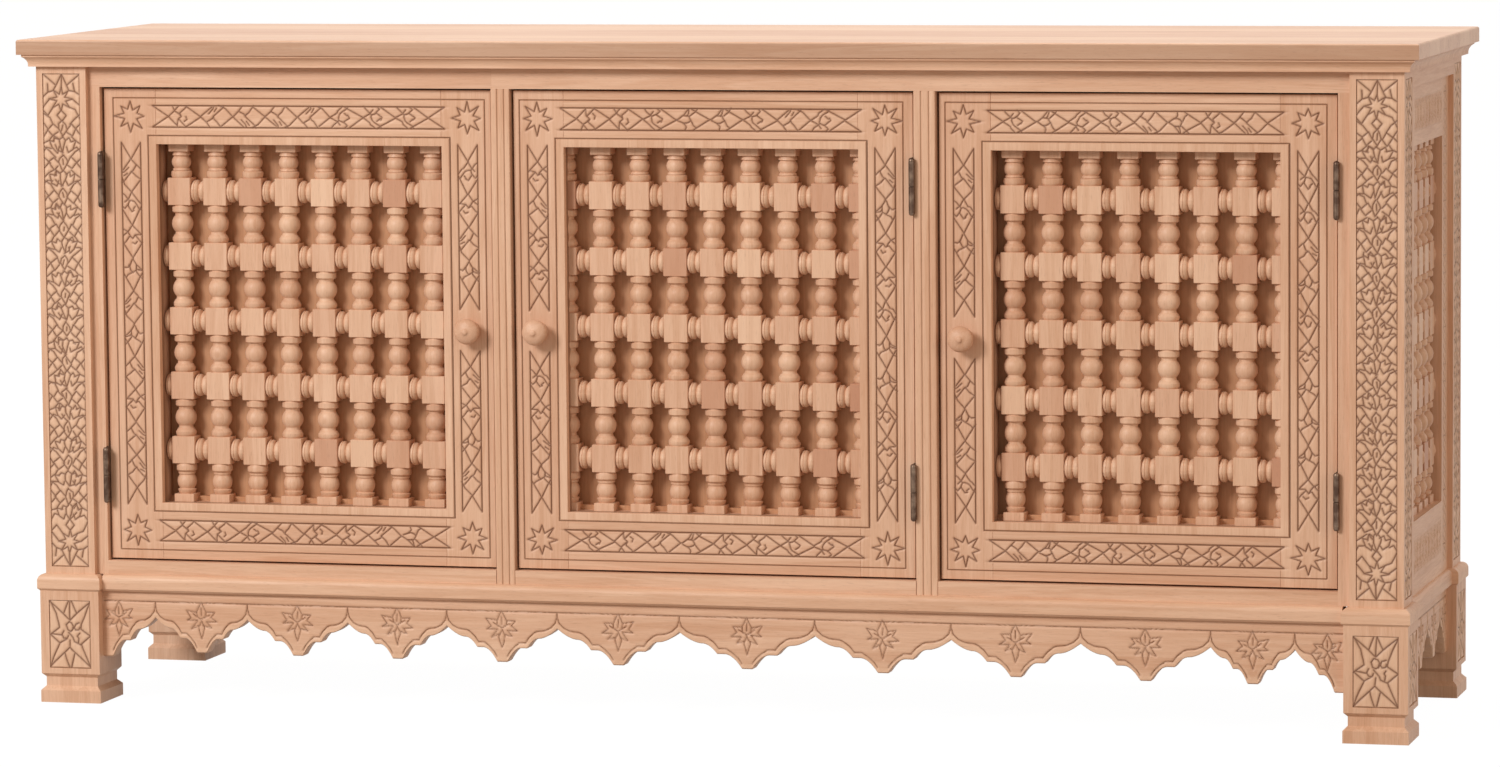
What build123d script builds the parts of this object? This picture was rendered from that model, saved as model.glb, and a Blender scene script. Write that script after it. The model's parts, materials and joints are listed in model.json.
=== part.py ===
"""A long carved sideboard of the Moroccan kind, with three doors of turned lattice.

The frame is right-handed, in millimetres: X runs to the right along the front, Y runs from the front to
the back, Z runs up, and the origin lies on the floor under the middle of the top.  Four posts on
collared legs carry rails, mullions and a moulded top, and the three framed doors hang on lift-off
hinges.
"""

import os
from math import atan, copysign, cos, degrees, pi

from build123d import *

os.makedirs("parts", exist_ok=True)

# ---------------------------------------------------------------- driving sizes: the whole cabinet
overall_width = 1878
overall_depth = 516
overall_height = 890

top_thickness = 20
top_edge_round = 3
top_overhang_side = 21
top_overhang_front = 18
cornice_height = 16
cornice_width = 60
cornice_reach_bottom = 8
cornice_reach_top = 15
cornice_lip = 3
cornice_cove_radius = 12

# ---------------------------------------------------------------- driving sizes: posts, legs, mouldings
post_size = 70
post_panel_margin = 8.5
post_panel_end_margin = 9.5
carving_depth = 2
leg_size = 83
leg_panel_margin = 12
leg_panel_height = 92
leg_bottom = 34
leg_chamfer = 5
neck_size = 73
foot_size = 85
foot_height = 23
foot_chamfer = 7
foot_shoulder_angle = 45
collar_size = 89
collar_bottom = 151
collar_height = 22.5
collar_round = 9
collar_arris = 3

frame_setback = 9
frame_thickness = 26
base_moulding_reach = 8
base_moulding_round = 8
top_rail_height = 27.5
top_rail_seam = -286
stile_width = 16
sill_height = 18.5
mullion_sides = ((-288.2, -261.9), (280.4, 309.9))
reed_groove = 1.6
reed_shares = (0.34, 0.7)

# ---------------------------------------------------------------- driving sizes: scalloped aprons
apron_thickness = 22
apron_cusp_drop = 35
apron_tip_drop = 46
apron_end_drop = 54
apron_tip_width = 14
apron_shoulder_share = 0.36
apron_shoulder_drop = 0.3
apron_shoulder_power = 1.7
apron_notch_share = 0.6
apron_notch_drop = 0.59
apron_step_share = 0.72
front_lobes = (75, 130, 141, 138, 152, 167, 183, 182, 171, 170, 109, 65)
side_lobes = (55, 108, 108, 55)

# ---------------------------------------------------------------- driving sizes: doors
door_setback = 9
door_gap = 2.5
door_thickness = 34
hinge_stile_width = 73
free_stile_width = 68.2
door_top_rail_width = 76
door_bottom_rail_width = 84
sight_moulding_width = 12
sight_moulding_depth = 10
sight_moulding_chamfer = 4
knob_inset = 31
knob_height = 508
knob_profile = ((0, 13), (4, 13), (8, 7.5), (12, 7.5), (18, 17), (21, 17), (26.5, 12), (28, 4), (30, 2))
knob_facets = 12

# ---------------------------------------------------------------- driving sizes: turned lattice
block_width = 31
block_depth = 26
block_height = 36
block_recess = 17
row_pitch = 86.6
row_count = 5
first_row_rise = 58.5
end_block_height = 11
neck_radius = 10
ball_radius = 14
spool_radius = 14.5
shortest_spool = 3
lattice_facets = 4
backing_rim_thickness = 12
backing_rim_width = 12
backing_panel_thickness = 6
backing_margin = 14
column_pitch = 50.2
column_margins = {"left": (24.4, 21.4), "middle": (-5.7, 1.3), "right": (23.8, -1.7)}
side_column_margin = 23.6

# ---------------------------------------------------------------- driving sizes: side panels, inside
side_setback = 7
side_stile_width = 52
side_thickness = 30
side_top_rail_height = 23
side_rail_height = 78
side_sill_height = 96
side_block_recess = 9
floor_thickness = 16.5
partition_thickness = 18
back_thickness = 8
back_rail_height = 60
back_rail_thickness = 20
shelf_thickness = 18
shelf_height = 500
shelf_gap = 1.5
shelf_front_gap = 14
batten_width = 12
batten_height = 18
batten_back = 130
stop_length = 40
stop_reach = 16
stop_thickness = 16
stop_gap = 0.5
stop_height = 300

# ---------------------------------------------------------------- driving sizes: hinges
hinge_height = 75
hinge_from_top = 120.5
hinge_from_bottom = 113
barrel_diameter = 8
barrel_facets = 8
barrel_clearance = 0.3
barrel_tip_diameter = 4.5
barrel_tip_height = 2.5
leaf_thickness = 0.95
leaf_depth = 28
hinge_pin_diameter = 4
hinge_pin_rise = 25
hinge_bore_diameter = 5.1
knuckle_gap = 0.4

# ---------------------------------------------------------------- worked-out places
body_width = overall_width - 2 * top_overhang_side
body_depth = overall_depth - 2 * top_overhang_front
half_width = body_width / 2
post_front = -body_depth / 2
post_back = body_depth / 2
post_inner_x = half_width - post_size
post_inner_y = post_back - post_size
slab_bottom = overall_height - top_thickness
post_top = slab_bottom - cornice_height
collar_top = collar_bottom + collar_height
frame_front = post_front + frame_setback
frame_back = frame_front + frame_thickness
top_rail_bottom = post_top - top_rail_height
sill_top = collar_top + sill_height
floor_top = collar_top + floor_thickness
leg_inner_x = half_width + (leg_size - post_size) / 2 - leg_size
leg_inner_y = post_back + (leg_size - post_size) / 2 - leg_size
collar_inner_x = half_width + (collar_size - post_size) / 2 - collar_size
collar_inner_y = post_back + (collar_size - post_size) / 2 - collar_size
post_centers = [
    (outward_x * (half_width - post_size / 2), outward_y * (post_back - post_size / 2))
    for outward_x in (-1, 1)
    for outward_y in (-1, 1)
]

door_front = frame_front + door_setback
door_back = door_front + door_thickness
door_bottom = sill_top + door_gap
door_top = top_rail_bottom - door_gap
sight_bottom = door_bottom + door_bottom_rail_width
sight_top = door_top - door_top_rail_width
row_heights = [sight_bottom + first_row_rise + row_pitch * i for i in range(row_count)]
lattice_front = door_front + block_recess
lattice_center = lattice_front + block_depth / 2
bay_left = -(post_inner_x - stile_width)
bay_right = post_inner_x - stile_width
door_spans = {
    "left": (bay_left + door_gap, mullion_sides[0][0] - door_gap),
    "middle": (mullion_sides[0][1] + door_gap, mullion_sides[1][0] - door_gap),
    "right": (mullion_sides[1][1] + door_gap, bay_right - door_gap),
}
hinged_left = {"left": True, "middle": False, "right": False}
hinge_center_y = frame_front - barrel_clearance - barrel_diameter / 2
hinge_heights = (door_bottom + hinge_from_bottom, door_top - hinge_from_top)

side_outer = half_width - side_setback
side_inner = side_outer - side_thickness
side_panel_top = post_top - side_top_rail_height
side_sight_top = side_panel_top - side_rail_height
side_sight_bottom = collar_top + side_sill_height
side_sight_half = post_inner_y - side_stile_width
side_lattice_outer = side_outer - side_block_recess
side_lattice_center = side_lattice_outer - block_depth / 2
back_inner = post_back - back_rail_thickness - back_thickness
backing_inner_x = side_inner - backing_rim_thickness - backing_panel_thickness
floor_edge_x = backing_inner_x - shelf_gap
partition_reach = partition_thickness / 2
mullion_centers = [sum(sides) / 2 for sides in mullion_sides]
partition_sides = [(center - partition_reach, center + partition_reach) for center in mullion_centers]
backing_rear = door_back + backing_rim_thickness + backing_panel_thickness
shelf_front = backing_rear + shelf_front_gap


def save(piece, name):
    """Label a finished piece and write it to its own STEP file."""
    piece.part.label = name
    export_step(piece.part, f"parts/{name}.step")


def block_at(x0, x1, y0, y1, z0, z1):
    """Add a squared length of timber between two corners to the part being built."""
    with BuildSketch(Plane.XY.offset(z0)) as end_grain:
        with Locations(((x0 + x1) / 2, (y0 + y1) / 2)):
            Rectangle(x1 - x0, y1 - y0)
    extrude(end_grain.sketch, amount=z1 - z0)


def faceted_taper(plane, wide, narrow, length, facets, mode=Mode.ADD):
    """Add or cut a faceted taper that stands on a plane with its wide end."""
    slope = degrees(atan((wide - narrow) * cos(pi / facets) / length))
    with BuildPart(mode=Mode.PRIVATE) as upright:
        with BuildSketch() as wide_end:
            RegularPolygon(wide, facets)
        extrude(wide_end.sketch, amount=length, taper=slope)
    with Locations(plane):
        add(upright.part, mode=mode)


def clear_runs(spans):
    """Return the clear runs that lie between the given spans and the two ends of the bay."""
    edges = [bay_left, *[edge for span in spans for edge in span], bay_right]
    return list(zip(edges[::2], edges[1::2]))


# ---------------------------------------------------------------- top board and cornice
with BuildPart() as top_board:
    with BuildSketch(Plane.XY.offset(slab_bottom)):
        Rectangle(overall_width, overall_depth)
    extrude(amount=top_thickness)
    fillet(top_board.faces().sort_by(Axis.Z)[-1].edges(), radius=top_edge_round)
save(top_board, "top_board")

# A mitred frame lies on the posts and rails; its outer edge is a cove under a small square lip.
with BuildPart() as cornice_frame:
    with BuildLine(Plane.XY.offset(post_top)) as cornice_walk:
        Polyline(
            (0, post_front),
            (half_width, post_front),
            (half_width, post_back),
            (-half_width, post_back),
            (-half_width, post_front),
            (0, post_front),
        )
    with BuildSketch(Plane(origin=(0, post_front, post_top), x_dir=(0, -1, 0), z_dir=(-1, 0, 0))):
        with BuildLine():
            Polyline((-cornice_width, 0), (cornice_reach_bottom, 0), (cornice_reach_bottom, cornice_lip))
            RadiusArc(
                (cornice_reach_bottom, cornice_lip),
                (cornice_reach_top, cornice_height - cornice_lip),
                cornice_cove_radius,
            )
            Polyline(
                (cornice_reach_top, cornice_height - cornice_lip),
                (cornice_reach_top, cornice_height),
                (-cornice_width, cornice_height),
                (-cornice_width, 0),
            )
        make_face()
    sweep(path=cornice_walk.wire(), transition=Transition.RIGHT)
save(cornice_frame, "cornice_frame")


# ---------------------------------------------------------------- posts, collars and legs
def sink_panel(origin, outward, width, height):
    """Cut a shallow panel for carving into an upright face of the part being built."""
    along = (0, 1, 0) if outward[0] else (1, 0, 0)
    with BuildSketch(Plane(origin=origin, x_dir=along, z_dir=outward)) as panel:
        Rectangle(width, height)
    extrude(panel.sketch, amount=-carving_depth, mode=Mode.SUBTRACT)


for post_x, post_y in post_centers:
    outward_x = 1 if post_x > 0 else -1
    panel_z = (post_top + collar_top) / 2
    panel_width = post_size - 2 * post_panel_margin
    panel_height = post_top - collar_top - 2 * post_panel_end_margin
    with BuildPart() as post:
        block_at(
            post_x - post_size / 2,
            post_x + post_size / 2,
            post_y - post_size / 2,
            post_y + post_size / 2,
            collar_top,
            post_top,
        )
        sink_panel((outward_x * half_width, post_y, panel_z), (outward_x, 0, 0), panel_width, panel_height)
        if post_y < 0:
            sink_panel((post_x, post_front, panel_z), (0, -1, 0), panel_width, panel_height)
    save(post, f"{'front' if post_y < 0 else 'back'}_{'right' if post_x > 0 else 'left'}_post")

# Each collar is a square block with a heavy round on its upper edges and a small arris below.
with BuildPart() as post_collars:
    with BuildSketch(Plane.XY.offset(collar_bottom)):
        with Locations(*post_centers):
            Rectangle(collar_size, collar_size)
    extrude(amount=collar_height)
    fillet(post_collars.faces().filter_by(Plane.XY).group_by(Axis.Z)[-1].edges(), radius=collar_round)
    chamfer(post_collars.faces().filter_by(Plane.XY).group_by(Axis.Z)[0].edges(), length=collar_arris)
save(post_collars, "post_collars")

# A leg is a stout block with sunk panels, a neck cut in all round, and a foot with sloping shoulders.
with BuildPart() as legs:
    with BuildSketch(Plane.XY.offset(leg_bottom)):
        with Locations(*post_centers):
            Rectangle(leg_size, leg_size)
    extrude(amount=collar_bottom - leg_bottom)
    chamfer(legs.faces().filter_by(Plane.XY).group_by(Axis.Z)[0].edges(), length=leg_chamfer)
    for post_x, post_y in post_centers:
        outward_x = 1 if post_x > 0 else -1
        panel_z = (collar_bottom + leg_bottom) / 2
        panel_width = leg_size - 2 * leg_panel_margin
        leg_face_x = post_x + outward_x * leg_size / 2
        sink_panel((leg_face_x, post_y, panel_z), (outward_x, 0, 0), panel_width, leg_panel_height)
        if post_y < 0:
            sink_panel((post_x, post_y - leg_size / 2, panel_z), (0, -1, 0), panel_width, leg_panel_height)
    with BuildSketch(Plane.XY):
        with Locations(*post_centers):
            Rectangle(neck_size, neck_size)
    extrude(amount=leg_bottom)
    with BuildSketch(Plane.XY):
        with Locations(*post_centers):
            Rectangle(foot_size, foot_size)
    extrude(amount=foot_height - foot_chamfer)
    with BuildSketch(Plane.XY.offset(foot_height - foot_chamfer)):
        with Locations(*post_centers):
            Rectangle(foot_size, foot_size)
    extrude(amount=foot_chamfer, taper=foot_shoulder_angle)
save(legs, "legs")

# ---------------------------------------------------------------- front frame
for rail_name, rail_x0, rail_x1 in (
    ("left", -post_inner_x, top_rail_seam),
    ("right", top_rail_seam, post_inner_x),
):
    with BuildPart() as top_rail:
        block_at(rail_x0, rail_x1, frame_front, frame_back, top_rail_bottom, post_top)
    save(top_rail, f"front_top_rail_{rail_name}")

with BuildPart() as front_stiles:
    block_at(-post_inner_x, bay_left, frame_front, frame_back, collar_top, top_rail_bottom)
    block_at(bay_right, post_inner_x, frame_front, frame_back, collar_top, top_rail_bottom)
save(front_stiles, "front_stiles")

# The mullions are reeded: two narrow grooves part each face into three strips.
for mullion_name, sides in zip(("left", "right"), mullion_sides):
    reeds = [sides[0] + (sides[1] - sides[0]) * share for share in reed_shares]
    with BuildPart() as mullion:
        block_at(*sides, frame_front, frame_back, collar_top, top_rail_bottom)
        with BuildSketch(Plane.XY.offset(collar_top)):
            with Locations(*[(reed, frame_front + reed_groove / 2) for reed in reeds]):
                Rectangle(reed_groove, reed_groove)
        extrude(amount=top_rail_bottom - collar_top, mode=Mode.SUBTRACT)
    save(mullion, f"{mullion_name}_mullion")

with BuildPart() as front_bottom_rails:
    for run in clear_runs(mullion_sides):
        block_at(*run, frame_front, frame_back, collar_top, sill_top)
save(front_bottom_rails, "front_bottom_rails")


# ---------------------------------------------------------------- base mouldings and aprons
def base_moulding(plane, length):
    """Add a length of moulding: flat back and bottom, a round nose above and a small arris below."""
    nose = base_moulding_reach + frame_thickness
    with BuildSketch(plane) as section:
        with BuildLine():
            Polyline(
                (0, collar_height),
                (0, 0),
                (nose - collar_arris, 0),
                (nose, collar_arris),
                (nose, collar_height - base_moulding_round),
            )
            RadiusArc(
                (nose, collar_height - base_moulding_round),
                (nose - base_moulding_round, collar_height),
                -base_moulding_round,
            )
            Line((nose - base_moulding_round, collar_height), (0, collar_height))
        make_face()
    extrude(section.sketch, amount=length)


with BuildPart() as front_base_moulding:
    base_moulding(
        Plane(origin=(collar_inner_x, frame_back, collar_bottom), x_dir=(0, -1, 0), z_dir=(-1, 0, 0)),
        2 * collar_inner_x,
    )
save(front_base_moulding, "front_base_moulding")

with BuildPart() as side_base_mouldings:
    for outward_x in (-1, 1):
        moulding_back = outward_x * (side_outer - frame_thickness)
        base_moulding(
            Plane(
                origin=(moulding_back, outward_x * collar_inner_y, collar_bottom),
                x_dir=(outward_x, 0, 0),
                z_dir=(0, -outward_x, 0),
            ),
            2 * collar_inner_y,
        )
save(side_base_mouldings, "side_base_mouldings")


def lobe_fall(share):
    """Return how far a pendant has fallen, from 0 to 1, at a share of the way from its cusp to its tip.

    The edge falls in a round shoulder, a cove, a level step and a second cove.
    """
    cove_run = apron_notch_share - apron_shoulder_share
    shoulder = 1 - (1 - min(share / apron_shoulder_share, 1)) ** apron_shoulder_power
    first_cove = max(min(share, apron_notch_share) - apron_shoulder_share, 0) / cove_run
    second_cove = max(share - apron_step_share, 0) / (1 - apron_step_share)
    fall = apron_shoulder_drop * shoulder
    fall += (apron_notch_drop - apron_shoulder_drop) * first_cove**2
    fall += (1 - apron_notch_drop) * second_cove**2
    return fall


def half_lobe(cusp, tip, drop, tip_half):
    """Return the points of half a pendant, from its cusp to the middle of its flat tip."""
    foot = tip - copysign(tip_half, tip - cusp)
    stations = [0, apron_shoulder_share, apron_notch_share, apron_step_share, 1]
    curved = [(start + end) / 2 for start, end in zip(stations, stations[1:]) if start != apron_notch_share]
    shares = sorted(stations + curved)
    edge = [(cusp + (foot - cusp) * share, -apron_cusp_drop - drop * lobe_fall(share)) for share in shares]
    return [*edge, (tip, -apron_cusp_drop - drop)]


def apron(plane, length, lobes):
    """Add a scalloped board: half a pendant at each end and whole pendants between them."""
    scale = length / sum(lobes)
    edge = -length / 2
    cusps = []
    for lobe in lobes[:-1]:
        edge += lobe * scale
        cusps.append(edge)
    outline = half_lobe(cusps[0], -length / 2, apron_end_drop, apron_tip_width)[::-1]
    for left_cusp, right_cusp in zip(cusps, cusps[1:]):
        tip = (left_cusp + right_cusp) / 2
        outline += half_lobe(left_cusp, tip, apron_tip_drop, apron_tip_width / 2)[1:-1]
        outline += half_lobe(right_cusp, tip, apron_tip_drop, apron_tip_width / 2)[-2::-1]
    outline += half_lobe(cusps[-1], length / 2, apron_end_drop, apron_tip_width)[1:]
    with BuildSketch(plane) as scallops:
        with BuildLine():
            Polyline(*outline, (length / 2, 0), (-length / 2, 0), close=True)
        make_face()
    extrude(scallops.sketch, amount=-apron_thickness)


with BuildPart() as front_apron:
    apron(
        Plane(origin=(0, frame_front, collar_bottom), x_dir=(1, 0, 0), z_dir=(0, -1, 0)),
        2 * leg_inner_x,
        front_lobes,
    )
save(front_apron, "front_apron")

with BuildPart() as side_aprons:
    for outward_x in (-1, 1):
        side_face = (outward_x * side_outer, 0, collar_bottom)
        side_plane = Plane(origin=side_face, x_dir=(0, outward_x, 0), z_dir=(outward_x, 0, 0))
        apron(side_plane, 2 * leg_inner_y, side_lobes)
save(side_aprons, "side_aprons")

# ---------------------------------------------------------------- side panels
with BuildPart() as side_top_rails:
    block_at(-half_width, -side_inner, -post_inner_y, post_inner_y, side_panel_top, post_top)
    block_at(side_inner, half_width, -post_inner_y, post_inner_y, side_panel_top, post_top)
save(side_top_rails, "side_top_rails")

with BuildPart() as side_stiles:
    for outward_x in (-1, 1):
        stile_x = sorted((outward_x * side_inner, outward_x * side_outer))
        block_at(*stile_x, -post_inner_y, -side_sight_half, collar_top, side_panel_top)
        block_at(*stile_x, side_sight_half, post_inner_y, collar_top, side_panel_top)
save(side_stiles, "side_stiles")

with BuildPart() as side_rails:
    for outward_x in (-1, 1):
        rail_x = sorted((outward_x * side_inner, outward_x * side_outer))
        block_at(*rail_x, -side_sight_half, side_sight_half, side_sight_top, side_panel_top)
        block_at(*rail_x, -side_sight_half, side_sight_half, collar_top, side_sight_bottom)
save(side_rails, "side_rails")


# ---------------------------------------------------------------- turned lattice
def turned_spindle(bottom, top, rows):
    """Build one upright of the lattice round its own axis: square blocks with turned balls between."""
    blocks = [(bottom, bottom + end_block_height)]
    blocks += [(row - block_height / 2, row + block_height / 2) for row in rows]
    blocks.append((top - end_block_height, top))
    with BuildPart() as spindle:
        for low, high in blocks:
            block_at(-block_width / 2, block_width / 2, -block_depth / 2, block_depth / 2, low, high)
        for (_, low), (high, _) in zip(blocks[1:-1], blocks[2:-1]):
            for up in (-1, 1):
                belly = Plane(origin=(0, 0, (low + high) / 2), x_dir=(1, 0, 0), z_dir=(0, 0, up))
                faceted_taper(belly, ball_radius, neck_radius, (high - low) / 2, lattice_facets)
        for shoulder, end, up in ((blocks[1][0], blocks[0][1], -1), (blocks[-2][1], blocks[-1][0], 1)):
            short_belly = Plane(origin=(0, 0, shoulder), x_dir=(1, 0, 0), z_dir=(0, 0, up))
            faceted_taper(short_belly, ball_radius, neck_radius, abs(end - shoulder), lattice_facets)
    return spindle


def lattice_columns(first, last):
    """Return evenly spaced column centres from the first to the last, at about the usual pitch."""
    spaces = round((last - first) / column_pitch)
    return [first + (last - first) * i / spaces for i in range(spaces + 1)]


def spool_gaps(columns, low_edge, high_edge):
    """Return the clear lengths between neighbouring blocks and out to the frame on either side."""
    edges = [low_edge]
    for column in columns:
        edges += [max(column - block_width / 2, low_edge), min(column + block_width / 2, high_edge)]
    edges.append(high_edge)
    return [(start, end) for start, end in zip(edges[::2], edges[1::2]) if end - start > shortest_spool]


def add_spools(plane_at, columns, low_edge, high_edge, rows):
    """Add the short cross pieces that tie neighbouring uprights together at every row of blocks."""
    for start, end in spool_gaps(columns, low_edge, high_edge):
        with BuildSketch(plane_at(start)) as spool_ends:
            with Locations(*[(0, row) for row in rows]):
                RegularPolygon(spool_radius, lattice_facets)
        extrude(spool_ends.sketch, amount=end - start)


for side, outward_x in (("left", -1), ("right", 1)):
    outer_column = side_sight_half - side_column_margin
    side_columns = lattice_columns(-outer_column, outer_column)
    side_spindle = turned_spindle(side_sight_bottom, side_sight_top, row_heights)
    with BuildPart() as side_spindles:
        with Locations(*[(outward_x * side_lattice_center, column, 0) for column in side_columns]):
            add(side_spindle.part, rotation=(0, 0, 90))
    save(side_spindles, f"{side}_side_lattice_spindles")
    with BuildPart() as side_spools:
        add_spools(
            lambda start: Plane(
                origin=(outward_x * side_lattice_center, start, 0), x_dir=(-1, 0, 0), z_dir=(0, 1, 0)
            ),
            side_columns,
            -side_sight_half,
            side_sight_half,
            row_heights,
        )
    save(side_spools, f"{side}_side_lattice_spools")

# A tray closes each lattice from the inside; its rim stands the panel clear of the blocks.
with BuildPart() as side_backings:
    for outward_x in (-1, 1):
        tray_height = side_sight_top - side_sight_bottom + 2 * backing_margin
        tray_width = 2 * side_sight_half + 2 * backing_margin
        tray_depth = backing_rim_thickness + backing_panel_thickness
        tray_face = Plane(
            origin=(outward_x * side_inner, 0, (side_sight_top + side_sight_bottom) / 2),
            x_dir=(0, 1, 0),
            z_dir=(outward_x, 0, 0),
        )
        with BuildSketch(tray_face):
            Rectangle(tray_width, tray_height)
        extrude(amount=-tray_depth)
        with BuildSketch(tray_face):
            Rectangle(tray_width - 2 * backing_rim_width, tray_height - 2 * backing_rim_width)
        extrude(amount=-backing_rim_thickness, mode=Mode.SUBTRACT)
save(side_backings, "side_backings")

# ---------------------------------------------------------------- inside of the cabinet
with BuildPart() as cabinet_floor:
    block_at(-post_inner_x, post_inner_x, frame_back, back_inner, collar_top, floor_top)
    block_at(-floor_edge_x, floor_edge_x, -post_inner_y, post_inner_y, collar_top, floor_top)
save(cabinet_floor, "cabinet_floor")

with BuildPart() as partitions:
    for walls in partition_sides:
        block_at(*walls, frame_back, back_inner, floor_top, post_top)
        block_at(*walls, post_front + cornice_width, post_back - cornice_width, post_top, slab_bottom)
save(partitions, "partitions")

with BuildPart() as back_panel:
    block_at(-post_inner_x, post_inner_x, back_inner, back_inner + back_thickness, collar_top, post_top)
save(back_panel, "back_panel")

with BuildPart() as back_rails:
    rail_y = (back_inner + back_thickness, post_back)
    block_at(-post_inner_x, post_inner_x, *rail_y, post_top - back_rail_height, post_top)
    block_at(-collar_inner_x, collar_inner_x, *rail_y, collar_bottom, collar_top)
    block_at(-post_inner_x, post_inner_x, *rail_y, collar_top, collar_bottom + back_rail_height)
save(back_rails, "back_rails")

bay_walls = [
    (-backing_inner_x, partition_sides[0][0]),
    (partition_sides[0][1], partition_sides[1][0]),
    (partition_sides[1][1], backing_inner_x),
]
shelf_z = (shelf_height, shelf_height + shelf_thickness)
with BuildPart() as shelves:
    for wall_x0, wall_x1 in bay_walls:
        shelf_x = (wall_x0 + shelf_gap, wall_x1 - shelf_gap)
        rear_x = (max(wall_x0, -post_inner_x) + shelf_gap, min(wall_x1, post_inner_x) - shelf_gap)
        block_at(*shelf_x, shelf_front, post_inner_y - shelf_gap, *shelf_z)
        block_at(*rear_x, shelf_front, back_inner - shelf_gap, *shelf_z)
save(shelves, "shelves")

with BuildPart() as shelf_battens:
    batten_z = (shelf_height - batten_height, shelf_height)
    for wall_x0, wall_x1 in bay_walls:
        block_at(wall_x0, wall_x0 + batten_width, shelf_front, batten_back, *batten_z)
        block_at(wall_x1 - batten_width, wall_x1, shelf_front, batten_back, *batten_z)
save(shelf_battens, "shelf_battens")

# Stop blocks on the partitions meet the back of each door's free stile when it is shut.
with BuildPart() as door_stops:
    stop_walls = ((partition_sides[0][0], -1), (partition_sides[0][1], 1), (partition_sides[1][1], 1))
    for wall_x, toward in stop_walls:
        stop_x = sorted((wall_x, wall_x + toward * stop_reach))
        stop_y = door_back + stop_gap
        block_at(*stop_x, stop_y, stop_y + stop_thickness, stop_height, stop_height + stop_length)
save(door_stops, "door_stops")


# ---------------------------------------------------------------- doors
def door_face(center_x, center_z, offset=0):
    """Return the plane of the doors' front face, turned so that its normal points out of the cabinet."""
    return Plane(origin=(center_x, door_front - offset, center_z), x_dir=(1, 0, 0), z_dir=(0, -1, 0))


def cut_moulding_seat(opening_left, opening_right):
    """Rebate the members of a door round its opening for the sight moulding."""
    seat_width = opening_right - opening_left + 2 * sight_moulding_width
    seat_height = sight_top - sight_bottom + 2 * sight_moulding_width
    seat_center = ((opening_left + opening_right) / 2, (sight_bottom + sight_top) / 2)
    with BuildSketch(door_face(*seat_center)) as moulding_seat:
        Rectangle(seat_width, seat_height)
    extrude(moulding_seat.sketch, amount=-sight_moulding_depth, mode=Mode.SUBTRACT)


def door_knob(center_x):
    """Build a turned knob: a base disc, a waist and a low domed head with a nipple."""
    with BuildPart() as knob:
        for (start, start_radius), (end, end_radius) in zip(knob_profile, knob_profile[1:]):
            grows = end_radius > start_radius
            wide_end = Plane(
                origin=(center_x, door_front - (end if grows else start), knob_height),
                x_dir=(1, 0, 0),
                z_dir=(0, 1 if grows else -1, 0),
            )
            radii = sorted((start_radius, end_radius), reverse=True)
            faceted_taper(wide_end, *radii, end - start, knob_facets)
    return knob


def hinge_leaf(edge_x, toward, level, up):
    """Add one leaf of a lift-off hinge: a plate against the timber and its half of the barrel."""
    axis = (edge_x - toward * door_gap / 2, hinge_center_y)
    barrel_radius = barrel_diameter / 2
    plate = sorted((edge_x, edge_x - toward * leaf_thickness))
    plate_front = hinge_center_y + barrel_radius + barrel_clearance
    knuckle_front = hinge_center_y + barrel_radius - leaf_thickness
    inner = knuckle_gap / 2
    outer = hinge_height / 2
    block_at(*plate, plate_front, hinge_center_y + leaf_depth, level - outer, level + outer)
    knuckle_z = sorted((level + up * inner, level + up * (outer - barrel_tip_height)))
    block_at(*plate, knuckle_front, plate_front, *knuckle_z)
    tip = Plane(origin=(*axis, level + up * (outer - barrel_tip_height)), x_dir=(1, 0, 0), z_dir=(0, 0, up))
    barrel = Plane(origin=(*axis, level + up * inner), x_dir=(1, 0, 0), z_dir=(0, 0, up))
    faceted_taper(barrel, barrel_radius, barrel_radius, outer - barrel_tip_height - inner, barrel_facets)
    faceted_taper(tip, barrel_radius, barrel_tip_diameter / 2, barrel_tip_height, barrel_facets)


def hinge_pin(axis_x, level, diameter, rise, mode=Mode.ADD):
    """Add or cut the pin that rises from the lower knuckle of a hinge into the upper one."""
    foot = Plane.XY.offset(level - knuckle_gap / 2).moved(Location((axis_x, hinge_center_y, 0)))
    faceted_taper(foot, diameter / 2, diameter / 2, rise, barrel_facets, mode)


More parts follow.
